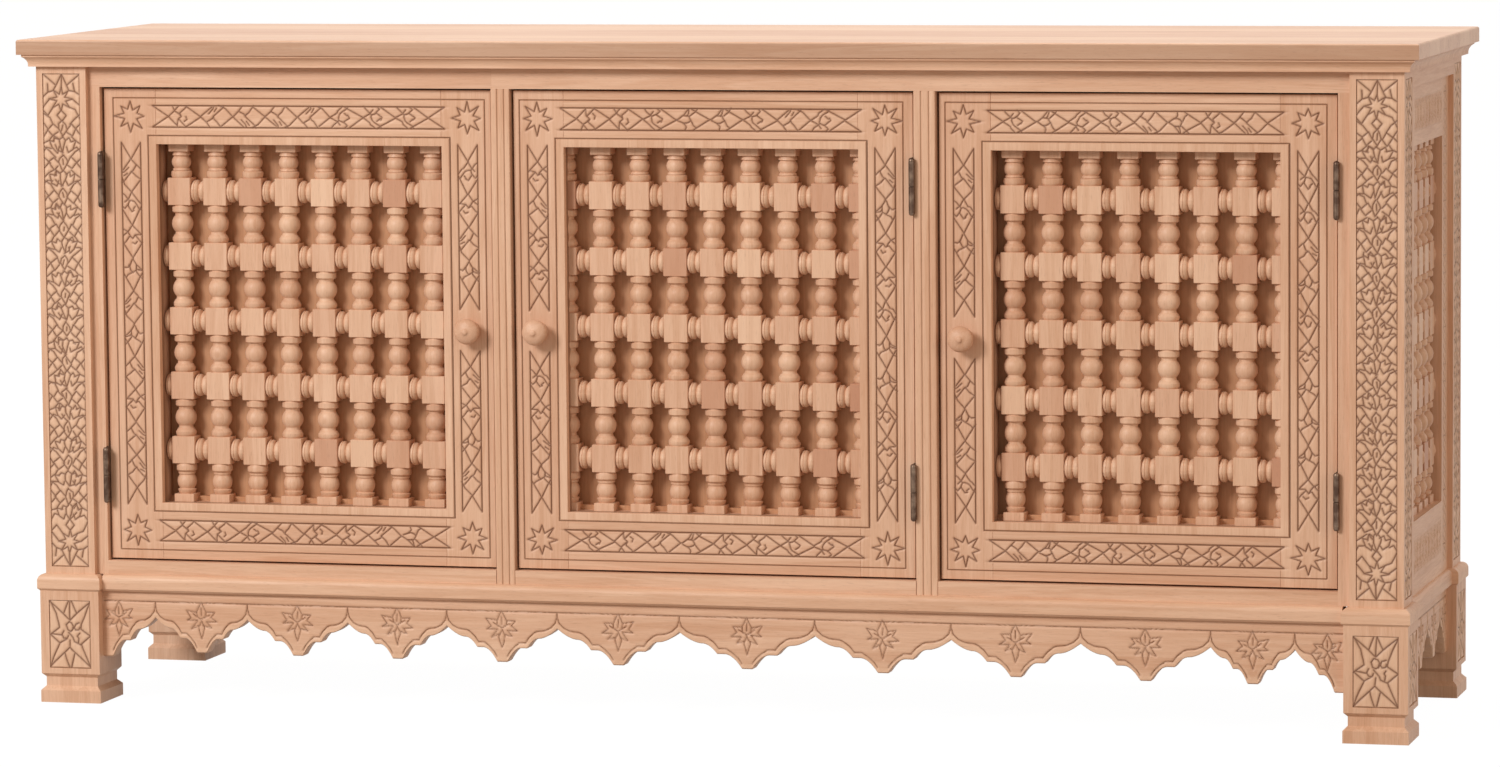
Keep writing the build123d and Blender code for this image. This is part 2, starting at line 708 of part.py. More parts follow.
for door_name, (left, right) in door_spans.items():
    opening_left = left + (hinge_stile_width if hinged_left[door_name] else free_stile_width)
    opening_right = right - (free_stile_width if hinged_left[door_name] else hinge_stile_width)
    opening_center = ((opening_left + opening_right) / 2, (sight_bottom + sight_top) / 2)
    with BuildPart() as stiles:
        block_at(left, opening_left, door_front, door_back, door_bottom, door_top)
        block_at(opening_right, right, door_front, door_back, door_bottom, door_top)
        cut_moulding_seat(opening_left, opening_right)
    save(stiles, f"{door_name}_door_stiles")

    with BuildPart() as rails:
        block_at(opening_left, opening_right, door_front, door_back, door_bottom, sight_bottom)
        block_at(opening_left, opening_right, door_front, door_back, sight_top, door_top)
        cut_moulding_seat(opening_left, opening_right)
    save(rails, f"{door_name}_door_rails")

    with BuildPart() as sight_moulding:
        opening_width = opening_right - opening_left
        opening_height = sight_top - sight_bottom
        with BuildSketch(door_face(*opening_center)):
            Rectangle(opening_width + 2 * sight_moulding_width, opening_height + 2 * sight_moulding_width)
            Rectangle(opening_width, opening_height, mode=Mode.SUBTRACT)
        extrude(amount=-sight_moulding_depth)
        front_edges = sight_moulding.faces().sort_by(Axis.Y)[0].inner_wires()[0].edges()
        chamfer(front_edges, length=sight_moulding_chamfer)
    save(sight_moulding, f"{door_name}_door_sight_moulding")

    left_margin, right_margin = column_margins[door_name]
    columns = lattice_columns(opening_left + left_margin, opening_right - right_margin)
    spindle = turned_spindle(sight_bottom, sight_top, row_heights)
    with BuildPart() as spindles:
        for column in columns:
            upright = spindle.part
            if column - block_width / 2 < opening_left:
                reveal = Plane.YZ.offset(opening_left - column)
                upright = split(upright, bisect_by=reveal, keep=Keep.TOP, mode=Mode.PRIVATE)
            if column + block_width / 2 > opening_right:
                reveal = Plane.YZ.offset(opening_right - column)
                upright = split(upright, bisect_by=reveal, keep=Keep.BOTTOM, mode=Mode.PRIVATE)
            with Locations((column, lattice_center, 0)):
                add(upright)
    save(spindles, f"{door_name}_door_lattice_spindles")

    with BuildPart() as spools:
        add_spools(
            lambda start: Plane(origin=(start, lattice_center, 0), x_dir=(0, 1, 0), z_dir=(1, 0, 0)),
            columns,
            opening_left,
            opening_right,
            row_heights,
        )
    save(spools, f"{door_name}_door_lattice_spools")

    with BuildPart() as backing:
        tray_width = opening_right - opening_left + 2 * backing_margin
        tray_height = sight_top - sight_bottom + 2 * backing_margin
        with BuildSketch(door_face(*opening_center, offset=-door_thickness)):
            Rectangle(tray_width, tray_height)
        extrude(amount=-(backing_rim_thickness + backing_panel_thickness))
        with BuildSketch(door_face(*opening_center, offset=-door_thickness)):
            Rectangle(tray_width - 2 * backing_rim_width, tray_height - 2 * backing_rim_width)
        extrude(amount=-backing_rim_thickness, mode=Mode.SUBTRACT)
    save(backing, f"{door_name}_door_backing")

    knob_x = right - knob_inset if hinged_left[door_name] else left + knob_inset
    save(door_knob(knob_x), f"{door_name}_door_knob")

    with BuildPart() as door_leaves:
        hinge_edge = left if hinged_left[door_name] else right
        toward = 1 if hinged_left[door_name] else -1
        for hinge_level in hinge_heights:
            hinge_leaf(hinge_edge, toward, hinge_level, 1)
            axis_x = hinge_edge - toward * door_gap / 2
            bore_rise = hinge_pin_rise + hinge_bore_diameter - hinge_pin_diameter
            hinge_pin(axis_x, hinge_level, hinge_bore_diameter, bore_rise, Mode.SUBTRACT)
    save(door_leaves, f"{door_name}_door_hinge_leaves")

with BuildPart() as hinge_frame_leaves:
    for door_name, (left, right) in door_spans.items():
        frame_edge = left - door_gap if hinged_left[door_name] else right + door_gap
        toward = -1 if hinged_left[door_name] else 1
        for hinge_level in hinge_heights:
            hinge_leaf(frame_edge, toward, hinge_level, -1)
save(hinge_frame_leaves, "hinge_frame_leaves")

with BuildPart() as hinge_pins:
    for door_name, (left, right) in door_spans.items():
        pin_x = left - door_gap / 2 if hinged_left[door_name] else right + door_gap / 2
        for hinge_level in hinge_heights:
            hinge_pin(pin_x, hinge_level, hinge_pin_diameter, hinge_pin_rise)
save(hinge_pins, "hinge_pins")
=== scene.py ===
"""Dress the long carved sideboard: turned lattice doors, chip carving, scalloped aprons and bare wood.

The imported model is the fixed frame.  Sizes below are in millimetres in the frame of the model, and each
piece is put into its mesh in metres.  A flat carved face is a grid whose every point is pushed back from
the face by a depth function, a turning is a profile carried round an axis, and a moulding is a profile
carried along a path.
"""

import json
import logging
import math
from dataclasses import dataclass, field
from enum import Enum
from typing import Any, Callable, Sequence

import bmesh
import bpy
import numpy as np
from mathutils import Matrix, Vector

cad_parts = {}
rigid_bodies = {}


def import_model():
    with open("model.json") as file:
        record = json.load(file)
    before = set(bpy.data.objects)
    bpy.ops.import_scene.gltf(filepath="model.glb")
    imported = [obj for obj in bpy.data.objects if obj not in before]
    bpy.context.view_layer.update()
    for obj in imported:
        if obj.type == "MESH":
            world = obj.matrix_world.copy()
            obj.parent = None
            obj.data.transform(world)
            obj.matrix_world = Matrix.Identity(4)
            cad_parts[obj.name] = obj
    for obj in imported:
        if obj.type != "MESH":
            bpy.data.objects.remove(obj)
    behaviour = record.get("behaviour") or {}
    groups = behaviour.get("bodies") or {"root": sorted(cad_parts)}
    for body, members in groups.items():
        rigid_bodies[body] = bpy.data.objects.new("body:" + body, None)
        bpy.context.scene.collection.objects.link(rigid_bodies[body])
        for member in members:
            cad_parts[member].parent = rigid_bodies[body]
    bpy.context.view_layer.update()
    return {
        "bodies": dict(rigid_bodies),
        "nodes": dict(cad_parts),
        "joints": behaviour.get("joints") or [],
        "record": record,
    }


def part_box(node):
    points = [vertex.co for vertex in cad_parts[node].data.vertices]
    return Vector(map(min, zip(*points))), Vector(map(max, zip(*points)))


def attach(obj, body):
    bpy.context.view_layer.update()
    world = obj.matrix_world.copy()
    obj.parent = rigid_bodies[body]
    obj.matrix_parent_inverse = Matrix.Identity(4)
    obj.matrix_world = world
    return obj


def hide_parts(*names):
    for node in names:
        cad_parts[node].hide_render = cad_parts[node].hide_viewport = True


Array = np.ndarray
Colour = tuple[float, float, float]
Owner = bpy.types.Material | bpy.types.World

MM = 0.001
FAR = 1e4  # farther than any part of the sideboard
ROUNDING_SHARE = 0.6  # how much of a cut's depth the rounding beside it takes
WINDOW = 6.0  # how far from a stroke its distance still matters
CABINET = "cabinet"
LOG = logging.getLogger("sideboard")


class Grain(Enum):
    """The way that the long fibres of a piece of timber run."""

    ALONG_X = 0
    ALONG_Y = 1
    ALONG_Z = 2


class Slot(Enum):
    """The material slots that a scene may repaint."""

    BARE_WOOD = "bare_wood"
    INNER_WOOD = "inner_wood"
    BACKING_WOOD = "backing_wood"
    HINGE_METAL = "hinge_metal"


# ---------------------------------------------------------------- shader maths


def operator(operation: str, swapped: bool = False) -> Callable[["Value", Any], "Value"]:
    """Return a method that puts a Math node between a value and another one.

    Args:
        operation: what the node does.
        swapped: whether the other one comes first.

    Returns:
        The method.
    """

    def method(value: "Value", other: Any) -> "Value":
        """Return what the operation makes of the two."""
        pair = {0: other, 1: value} if swapped else {0: value, 1: other}
        return value.sheet.value("ShaderNodeMath", {"operation": operation}, pair)

    return method


@dataclass
class Value:
    """A number that varies over the surface, with the arithmetic that the finishes use."""

    sheet: "Worksheet"
    socket: bpy.types.NodeSocket

    __add__ = operator("ADD")
    __radd__ = operator("ADD", swapped=True)
    __sub__ = operator("SUBTRACT")
    __rsub__ = operator("SUBTRACT", swapped=True)
    __mul__ = operator("MULTIPLY")
    __rmul__ = operator("MULTIPLY", swapped=True)
    __truediv__ = operator("DIVIDE")
    __pow__ = operator("POWER")

    def clamped(self) -> "Value":
        """Return the value held between 0 and 1."""
        settings = {"operation": "ADD", "use_clamp": True}
        return self.sheet.value("ShaderNodeMath", settings, {0: self, 1: 0.0})

    def floor(self) -> "Value":
        """Return the whole number below the value."""
        return self.sheet.value("ShaderNodeMath", {"operation": "FLOOR"}, {0: self})

    def sine(self) -> "Value":
        """Return the sine of the value in radians."""
        return self.sheet.value("ShaderNodeMath", {"operation": "SINE"}, {0: self})

    def size(self) -> "Value":
        """Return the value without its sign."""
        return self.sheet.value("ShaderNodeMath", {"operation": "ABSOLUTE"}, {0: self})


class Worksheet:
    """The node tree of one finish or of the room, in which every node is made in the same way."""

    def __init__(self, owner: Owner) -> None:
        """Start an empty tree.

        Args:
            owner: the material or the world that the tree belongs to.
        """
        self.owner = owner
        owner.use_nodes = True
        self.tree = owner.node_tree
        self.tree.nodes.clear()

    def node(
        self, kind: str, settings: dict[str, Any] | None = None, inputs: dict[Any, Any] | None = None
    ) -> bpy.types.Node:
        """Add a node, set it up and feed its sockets.

        Args:
            kind: the node's type.
            settings: its own settings, which are set first.
            inputs: what each input socket gets, by name or by number: a link, a value or a constant.

        Returns:
            The node.
        """
        made = self.tree.nodes.new(kind)
        for key, setting in (settings or {}).items():
            setattr(made, key, setting)
        for key, given in (inputs or {}).items():
            socket = made.inputs[key]
            if isinstance(given, Value):
                self.tree.links.new(given.socket, socket)
            elif isinstance(given, bpy.types.NodeSocket):
                self.tree.links.new(given, socket)
            elif isinstance(given, tuple) and socket.type == "RGBA":
                socket.default_value = (*given[:3], 1.0)
            else:
                socket.default_value = given
        return made

    def value(self, kind: str, settings: dict[str, Any], inputs: dict[Any, Any], output: Any = 0) -> Value:
        """Add a node and return one of its outputs as a value."""
        return Value(self, self.node(kind, settings, inputs).outputs[output])

    def place(
        self, stretch: Sequence[float], shift: Sequence[float] = (0.0, 0.0, 0.0)
    ) -> bpy.types.NodeSocket:
        """Return the object coordinates, stretched and shifted.

        Args:
            stretch: the factor on each axis.
            shift: what is added afterwards, in stretched units.

        Returns:
            The vector socket.
        """
        coordinates = self.node("ShaderNodeTexCoord").outputs["Object"]
        inputs = {"Vector": coordinates, "Scale": tuple(stretch), "Location": tuple(shift)}
        return self.node("ShaderNodeMapping", {}, inputs).outputs["Vector"]

    def noise(
        self, vector: bpy.types.NodeSocket, scale: float, detail: float, distortion: float = 0.0
    ) -> Value:
        """Return a noise value between about 0 and 1."""
        inputs = {"Vector": vector, "Scale": scale, "Detail": detail, "Distortion": distortion}
        return self.value("ShaderNodeTexNoise", {"noise_dimensions": "3D"}, inputs, "Fac")

    def blend(self, share: Any, first: Any, second: Any) -> bpy.types.NodeSocket:
        """Return a mix of two colours."""
        settings = {"data_type": "RGBA", "clamp_factor": True}
        return self.node("ShaderNodeMix", settings, {0: share, 6: first, 7: second}).outputs[2]

    def attribute(self, name: str) -> Value:
        """Return a number that is stored in the mesh, or 0 where the mesh has none."""
        return self.value("ShaderNodeAttribute", {"attribute_name": name}, {}, "Fac")

    def bump(self, height: Value, strength: float, distance: float) -> bpy.types.NodeSocket:
        """Return the normal that a fine relief of the surface gives."""
        inputs = {"Strength": strength, "Distance": distance, "Height": height}
        return self.node("ShaderNodeBump", {}, inputs).outputs["Normal"]

    def open_rays(self) -> Value:
        """Read which rays see a surface and which ones only gather its light.

        Returns:
            1 for rays straight from the camera, in a gloss or through a surface, and 0 for the others.
        """
        path = self.node("ShaderNodeLightPath")
        camera, glossy, through = (
            Value(self, path.outputs[f"Is {kind} Ray"]) for kind in ("Camera", "Glossy", "Transmission")
        )
        return (camera + glossy + through).clamped()

    def finish(self, shader: bpy.types.Node, output: str = "ShaderNodeOutputMaterial") -> Owner:
        """Join a shader to the output and return the owner of the tree."""
        self.node(output, {}, {"Surface": shader.outputs[0]})
        return self.owner


def linear(red: int, green: int, blue: int) -> Colour:
    """Turn a colour as a paint chart writes it, 0 to 255, into the linear numbers of a shader."""
    shares = np.array((red, green, blue)) / 255.0
    return tuple(np.where(shares <= 0.04045, shares / 12.92, ((shares + 0.055) / 1.055) ** 2.4).tolist())


@dataclass(frozen=True)
class WoodFinish:
    """Bare planed wood: fine fibres, soft figure, small pores, and painted shade in the cuts.

    The colour swings between a pale and a warm tone with a broad figure and with fine fibres, both
    noise stretched along the grain.  The mesh attribute "tone" shifts a piece to the pinker tone, and
    "cut" paints shade into the bottom of the carving: the deeper the point, the darker brown it is.
    """

    name: str
    grain: Grain
    pale: Colour = linear(236, 197, 168)
    warm: Colour = linear(203, 153, 119)
    rosy: Colour = linear(196, 143, 113)
    # painted shade: the dark brown that the bottoms of cuts are painted with; pores and board seams share it
    shade_and_pore_brown: Colour = linear(104, 58, 30)
    tone: float = 0.0
    seed: float = 0.0
    board_width: float = 0.0
    roughness: float = 0.5
    palest: Colour = linear(241, 206, 175)
    stretch: float = 0.05
    figure_scale: float = 42.0
    fibre_scale: float = 620.0
    pore_scale: float = 1500.0
    patch_scale: float = 3.2
    seam: float = 0.0016
    seam_brown: float = 0.35
    board_swing: float = 0.6
    rings: float = 34.0
    shares: tuple[float, float, float, float] = (0.9, 0.6, 0.22, 0.7)
    level: float = 0.72
    pore_level: float = 0.64
    pore_gain: float = 9.0
    pore_brown: float = 0.2
    # painted shade in the cuts: the power on the cut depth and the largest share of the dark brown
    cut_shade_curve: tuple[float, float] = (1.6, 0.85)
    roughness_swing: float = 0.16
    bump: tuple[float, float] = (0.35, 0.0003)

    def _board_tone(self, sheet: Worksheet) -> tuple[Any, Any]:
        """Work out the tone of each glued-up board and a thin line at its edges.

        The boards lie side by side across the depth, so the board's number is the whole part of y over
        the width, and the line is where the fraction is near 0.

        Args:
            sheet: the node tree of the finish.

        Returns:
            The tone and the line, or two zeros where there are no boards.
        """
        if not self.board_width:
            return 0.0, 0.0
        spot = sheet.node("ShaderNodeSeparateXYZ", {}, {0: sheet.place((1, 1, 1), (0, 0, 0))})
        across = Value(sheet, spot.outputs["Y"]) / self.board_width
        number = across.floor()
        inputs = {"W": number + self.seed}
        random_tone = sheet.value("ShaderNodeTexWhiteNoise", {"noise_dimensions": "1D"}, inputs, "Value")
        edge = 1 - (((across - number) - 0.5).size() * 2 * -1 + 1) * (self.board_width / self.seam)
        return (random_tone - 0.5) * self.board_swing, edge.clamped() * self.seam_brown

    def material(self) -> bpy.types.Material:
        """Build the material.

        Returns:
            The material.
        """
        sheet = Worksheet(bpy.data.materials.new(self.name))
        along = [1.0, 1.0, 1.0]
        along[self.grain.value] = self.stretch
        shift = (self.seed * 1.7, self.seed * 2.3, self.seed * 0.9)
        grain_place = sheet.place(along, shift)
        figure = sheet.noise(grain_place, self.figure_scale, 3.0, 0.6)
        fibre = sheet.noise(grain_place, self.fibre_scale, 3.0)
        ring = ((figure * self.rings).sine() * 0.5) + 0.5
        patch = sheet.noise(sheet.place((1, 1, 1), shift), self.patch_scale, 2.0)
        pore = sheet.noise(grain_place, self.pore_scale, 1.0)
        pore = ((pore - self.pore_level) * self.pore_gain).clamped()
        board_tone, board_edge = self._board_tone(sheet)
        parts = [part * share for part, share in zip((figure, fibre, ring, patch), self.shares)]
        mixed = parts[0] + parts[1] + parts[2] + parts[3] - self.level
        base = sheet.blend(mixed.clamped(), self.pale, self.warm)
        tone = sheet.attribute("tone") + (self.tone + patch * 0.2 - 0.1) + board_tone
        rosier = sheet.blend(tone.clamped(), base, self.rosy)
        paler = sheet.blend((tone * -1.0).clamped(), rosier, self.palest)
        # Painted shade: the deeper a point lies in a cut, the more of the dark brown it gets; pores and board
        # seams add their own brown.
        power, share = self.cut_shade_curve
        cut = sheet.attribute("cut").clamped()
        shade_pores_and_seams = sheet.blend((cut**power) * share + pore * self.pore_brown + board_edge, paler, self.shade_and_pore_brown)
        inputs = {
            "Base Color": shade_pores_and_seams,
            "Roughness": fibre * self.roughness_swing + (self.roughness - self.roughness_swing / 2),
            "Specular IOR Level": 0.4,
            "Normal": sheet.bump(fibre * 0.6 + figure * 0.3 - pore * 0.5, *self.bump),
        }
        return sheet.finish(sheet.node("ShaderNodeBsdfPrincipled", {}, inputs))


@dataclass(frozen=True)
class MetalFinish:
    """Dark bronzed steel: brown-grey with worn lighter patches and a brushed sheen."""

    name: str
    dark: Colour = linear(82, 60, 47)
    worn: Colour = linear(150, 126, 106)
    cloud_scale: float = 90.0
    cloud_level: float = 0.42
    cloud_gain: float = 2.4
    scratch_scale: float = 1400.0
    scratch_stretch: tuple[float, float, float] = (1.0, 1.0, 0.05)
    bump: tuple[float, float] = (0.25, 0.0002)

    def material(self) -> bpy.types.Material:
        """Build the material.

        Returns:
            The material.
        """
        sheet = Worksheet(bpy.data.materials.new(self.name))
        cloud = sheet.noise(sheet.place((1, 1, 1)), self.cloud_scale, 4.0)
        worn = ((cloud - self.cloud_level) * self.cloud_gain).clamped()
        scratch = sheet.noise(sheet.place(self.scratch_stretch), self.scratch_scale, 2.0)
        inputs = {
            "Base Color": sheet.blend(worn, self.dark, self.worn),
            "Metallic": 0.75,
            "Roughness": scratch * 0.2 + 0.3,
            "Normal": sheet.bump(scratch, *self.bump),
        }
        return sheet.finish(sheet.node("ShaderNodeBsdfPrincipled", {}, inputs))


class Timber:
    """The store of finishes, so that a finish is built once and shared by its pieces."""

    looks: dict[Slot, dict[str, Any]] = {
        Slot.BACKING_WOOD: {
            "pale": linear(214, 164, 124),
            "warm": linear(178, 124, 86),
            "rosy": linear(170, 116, 80),
        },
        Slot.INNER_WOOD: {
            "pale": linear(222, 180, 146),
            "warm": linear(196, 146, 112),
            "roughness": 0.6,
        },
    }

    def __init__(self) -> None:
        """Start with an empty store."""
        self._built: dict[str, bpy.types.Material] = {}

    def _kept(self, finish: WoodFinish | MetalFinish) -> bpy.types.Material:
        """Build a finish when it is first asked for.

        Args:
            finish: the finish.

        Returns:
            Its material.
        """
        if finish.name not in self._built:
            self._built[finish.name] = finish.material()
        return self._built[finish.name]

    def wood(
        self, grain: Grain, slot: Slot = Slot.BARE_WOOD, tone: float = 0.0, seed: float = 0.0
    ) -> bpy.types.Material:
        """Return a wood finish for a grain direction, a slot and a tone."""
        name = f"{slot.value}_{grain.name.lower()}_{round(tone * 100):+d}_{round(seed * 10)}"
        return self._kept(WoodFinish(name, grain, tone=tone, seed=seed, **self.looks.get(slot, {})))

    def top_boards(self) -> bpy.types.Material:
        """Return the finish of the glued-up top."""
        settings = {"tone": -0.2, "seed": 3.0, "board_width": 0.086, "roughness": 0.42}
        return self._kept(WoodFinish("bare_wood_top_boards", Grain.ALONG_X, **settings))

    def metal(self) -> bpy.types.Material:
        """Return the finish of the hinges."""
        return self._kept(MetalFinish("hinge_metal"))


# ---------------------------------------------------------------- mesh making


@dataclass
class Shell:
    """Closed surfaces that are gathered in millimetres and then made one mesh."""

    _points: list[Array] = field(default_factory=list)
    _tones: list[Array] = field(default_factory=list)
    _cuts: list[Array] = field(default_factory=list)
    _loops: list[Array] = field(default_factory=list)
    _sizes: list[Array] = field(default_factory=list)
    _count: int = 0

    def add_points(self, points: Array, tone: Any = 0.0, cut: Any = 0.0) -> Array:
        """Add points and return their numbers.

        Args:
            points: places in millimetres, any shape that ends in 3.
            tone: the tone of each point, or one for all.
            cut: how deep each point lies in a cut, 0 to 1, or one for all; the finish paints shade there.

        Returns:
            The numbers, in the shape of points without its last axis.
        """
        shape = points.shape[:-1]
        numbers = np.arange(self._count, self._count + math.prod(shape)).reshape(shape)
        self._points.append(points.reshape(-1, 3))
        self._tones.append(np.broadcast_to(tone, shape).reshape(-1))
        self._cuts.append(np.broadcast_to(cut, shape).reshape(-1))
        self._count += numbers.size
        return numbers

    def add_faces(self, corners: Array) -> None:
        """Add faces from the numbers of their corners.

        Args:
            corners: the numbers, one face per row.
        """
        rows = corners.reshape(-1, corners.shape[-1])
        self._loops.append(rows.reshape(-1))
        self._sizes.append(np.full(len(rows), rows.shape[1]))

    def add_grid(self, numbers: Array, close_rows: bool = False, close_columns: bool = False) -> None:
        """Add the quads of a grid of points.

        Args:
            numbers: the point numbers; the last two axes are the grid's rows and columns.
            close_rows: whether the last row joins the first.
            close_columns: whether the last column joins the first.
        """
        if close_rows:
            numbers = np.concatenate((numbers, numbers[..., :1, :]), axis=-2)
        if close_columns:
            numbers = np.concatenate((numbers, numbers[..., :, :1]), axis=-1)
        low, high = numbers[..., :-1, :], numbers[..., 1:, :]
        self.add_faces(np.stack((low[..., :-1], low[..., 1:], high[..., 1:], high[..., :-1]), axis=-1))

    def build(
        self,
        name: str,
        material: bpy.types.Material,
        body: str = CABINET,
        slot: Slot = Slot.BARE_WOOD,
        sharp: float = 34.0,
    ) -> bpy.types.Object:
        """Make the mesh, turn its faces outwards, and let it ride on a body.

        Args:
            name: the piece's name.
            material: its finish.
            body: the body of the model that it moves with.
            slot: not used.
            sharp: the angle in degrees past which an edge looks crisp.

        Returns:
            The finished object.
        """
        points = np.concatenate(self._points)
        loops = np.concatenate(self._loops).astype(np.int32)
        sizes = np.concatenate(self._sizes)
        mesh = bpy.data.meshes.new(name)
        mesh.vertices.add(len(points))
        mesh.vertices.foreach_set("co", (points * MM).astype(np.float32).ravel())
        mesh.loops.add(len(loops))
        mesh.loops.foreach_set("vertex_index", loops)
        mesh.polygons.add(len(sizes))
        mesh.polygons.foreach_set("loop_start", (np.cumsum(sizes) - sizes).astype(np.int32))
        # the "cut" numbers tell the finish where to paint shade in the carving
        for label, numbers in (("tone", self._tones), ("cut", self._cuts)):
            stored = mesh.attributes.new(label, "FLOAT", "POINT")
            stored.data.foreach_set("value", np.concatenate(numbers).astype(np.float32))
        mesh.update(calc_edges=True)
        work = bmesh.new()
        work.from_mesh(mesh)
        bmesh.ops.recalc_face_normals(work, faces=work.faces)
        work.to_mesh(mesh)
        work.free()
        mesh.set_sharp_from_angle(angle=math.radians(sharp))
        mesh.materials.append(material)
        piece = bpy.data.objects.new(name, mesh)
        bpy.context.scene.collection.objects.link(piece)
        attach(piece, body)
        LOG.info("%s: %d faces, rides on %s", name, len(sizes), body)
        return piece

    def add_boxes(self, centers: Array, sizes: Sequence[float], ease: float, tones: Any = 0.0) -> None:
        """Add square blocks with eased edges.

        Every corner of a block is three points, one on each face that meets there, each held back from
        the corner by the ease; six faces, twelve edge strips and eight corner triangles close it.

        Args:
            centers: the middles, one per row.
            sizes: the three sizes, for all the blocks or one row each.
            ease: how far the edges are taken off.
            tones: a tone for each block.
        """
        signs = np.array([(x, y, z) for x in (-1, 1) for y in (-1, 1) for z in (-1, 1)], float)
        halves = np.broadcast_to(np.asarray(sizes, float) / 2, centers.shape)
        held = np.full((3, 3), ease) - np.eye(3) * ease
        offsets = signs[None, :, None, :] * (halves[:, None, None, :] - held[None, None, :, :])
        points = centers[:, None, None, :] + offsets
        tone_rows = np.broadcast_to(np.asarray(tones, float), (len(centers),))[:, None, None]
        numbers = self.add_points(points, tone_rows).reshape(len(centers), 24)
        corner = {tuple(sign): 3 * row for row, sign in enumerate(signs.astype(int).tolist())}

        def start_of(axis: int, sign: int, pair: tuple[int, int]) -> int:
            """Return the first point of the corner with these signs on an axis and on the other two."""
            return corner[(*pair[:axis], sign, *pair[axis:])]

        for axis in range(3):
            others = [other for other in range(3) if other != axis]
            ring = ((-1, -1), (1, -1), (1, 1), (-1, 1))
            for sign in (-1, 1):
                self.add_faces(numbers[:, [start_of(axis, sign, pair) + axis for pair in ring]])
            for pair in ring:
                low, high = start_of(axis, -1, pair), start_of(axis, 1, pair)
                strip = [low + others[0], low + others[1], high + others[1], high + others[0]]
                self.add_faces(numbers[:, strip])
        for start in corner.values():
            self.add_faces(numbers[:, [start, start + 1, start + 2]])

    def add_turnings(
        self,
        centers: Array,
        axis: Grain,
        profile: Array,
        facets: int,
        tones: Any = 0.0,
        span: Array | None = None,
    ) -> None:
        """Add turned pieces: each point of a profile is carried round the axis on a circle of its radius.

        Args:
            centers: where each piece's profile starts, one per row.
            axis: the direction of the turning axis.
            profile: rows of (place along the axis, radius).
            facets: the number of faces round the axis.
            tones: a tone for each piece.
            span: lowest and highest corner that the points are held within, or None.
        """
        angles = (np.arange(facets) + 0.5) * 2 * np.pi / facets
        along = np.broadcast_to(profile[:, :1], (len(profile), facets))
        ring = np.stack((profile[:, 1:] * np.cos(angles), profile[:, 1:] * np.sin(angles), along), axis=-1)
        ring = np.roll(ring, axis.value + 1, axis=-1)
        points = centers[:, None, None, :] + ring[None]
        if span is not None:
            points = np.clip(points, span[0], span[1])
        tone_rows = np.broadcast_to(np.asarray(tones, float), (len(centers),))[:, None, None]
        numbers = self.add_points(points, tone_rows)
        self.add_grid(numbers, close_columns=True)
        self.add_faces(numbers[:, 0, ::-1])
        self.add_faces(numbers[:, -1, :])

    def add_run(self, stops: Array, cut: Any = 0.0, closed: bool = False) -> None:
        """Add a moulding: a closed section carried along a path.

        Args:
            stops: the section at every stop of the path: stops, section points, 3.
            cut: how deep each point lies in a cut, where the finish paints shade.
            closed: whether the last stop joins the first.
        """
        numbers = self.add_points(stops, 0.0, cut)
        self.add_grid(numbers, close_rows=closed, close_columns=True)
        if not closed:
            self.add_faces(numbers[:1, ::-1])
            self.add_faces(numbers[-1:, :])


@dataclass(frozen=True)
class Face:
    """A flat face of the furniture: where it starts, its two directions, and the way it looks."""

    origin: tuple[float, float, float]
    across: tuple[float, float, float]
    up: tuple[float, float, float]

    def place(self, u: Array, v: Array, depth: Array | float) -> Array:
        """Return the places of points on the face, pushed back by a depth.

        The outward normal is across times up, and a point is the origin plus u across plus v up less
        the depth along the normal.

        Args:
            u: places across.
            v: places up.
            depth: how far each point is pushed back.

        Returns:
            The places in the frame of the model.
        """
        across, up = np.array(self.across, float), np.array(self.up, float)
        outward = np.cross(across, up)
        back = np.broadcast_to(depth, np.broadcast_shapes(np.shape(u), np.shape(v)))
        flat = np.array(self.origin, float) + u[..., None] * across + v[..., None] * up
        return flat - back[..., None] * outward


def front_face(x: float, y: float, z: float) -> Face:
    """Return a face that looks out of the front."""
    return Face((x, y, z), (1, 0, 0), (0, 0, 1))


def side_face(outward: int, x: float, y: float, z: float) -> Face:
    """Return a face that looks out of the left (-1) or right (1) side."""
    return Face((x, y, z), (0, outward, 0), (0, 0, 1))


def even_lines(low: float, high: float, step: float) -> Array:
    """Return evenly spaced lines from one place to another, about a step apart."""
    return np.linspace(low, high, round((high - low) / step) + 1)


def round_over(distance: Array, radius: float) -> Array:
    """Return how far a rounded edge falls back at a distance from it.

    At a distance t inside the radius r, the depth is r less the root of r squared less (r - t) squared.
    """
    gap = np.clip(radius - distance, 0, radius)
    return radius - np.sqrt(radius**2 - gap**2)


def add_board(
    shell: Shell,
    face: Face,
    u: Array,
    v: Array,
    depth: Array,
    thickness: float,
    deepest: float,
    tone: float = 0.0,
) -> None:
    """Add a carved board: a relief grid in front, flat walls and one flat back.

    Args:
        shell: what the board is added to.
        face: its front face.
        u: the grid lines across.
        v: the grid lines up.
        depth: how far each grid point is pushed back, rows by v and columns by u.
        thickness: the board's thickness.
        deepest: the depth that counts as the bottom of a cut, where the painted shade is fullest.
        tone: the board's tone.
    """
    across, up = np.meshgrid(u, v)
    # the depth share goes to the finish as painted shade in the cuts
    front = shell.add_points(face.place(across, up, depth), tone, np.clip(depth / deepest, 0, 1))
    corner_u = np.array([u[0], u[-1], u[-1], u[0]])
    corner_v = np.array([v[0], v[0], v[-1], v[-1]])
    back = shell.add_points(face.place(corner_u, corner_v, thickness), tone)
    shell.add_grid(front)
    walls = (front[0, :], front[:, -1], front[-1, ::-1], front[::-1, 0])
    for start, wall in enumerate(walls):
        end = (start + 1) % 4
        shell.add_faces(np.concatenate((wall[::-1], back[[start, end]]))[None])
    shell.add_faces(back[None, ::-1])


# ---------------------------------------------------------------- carving


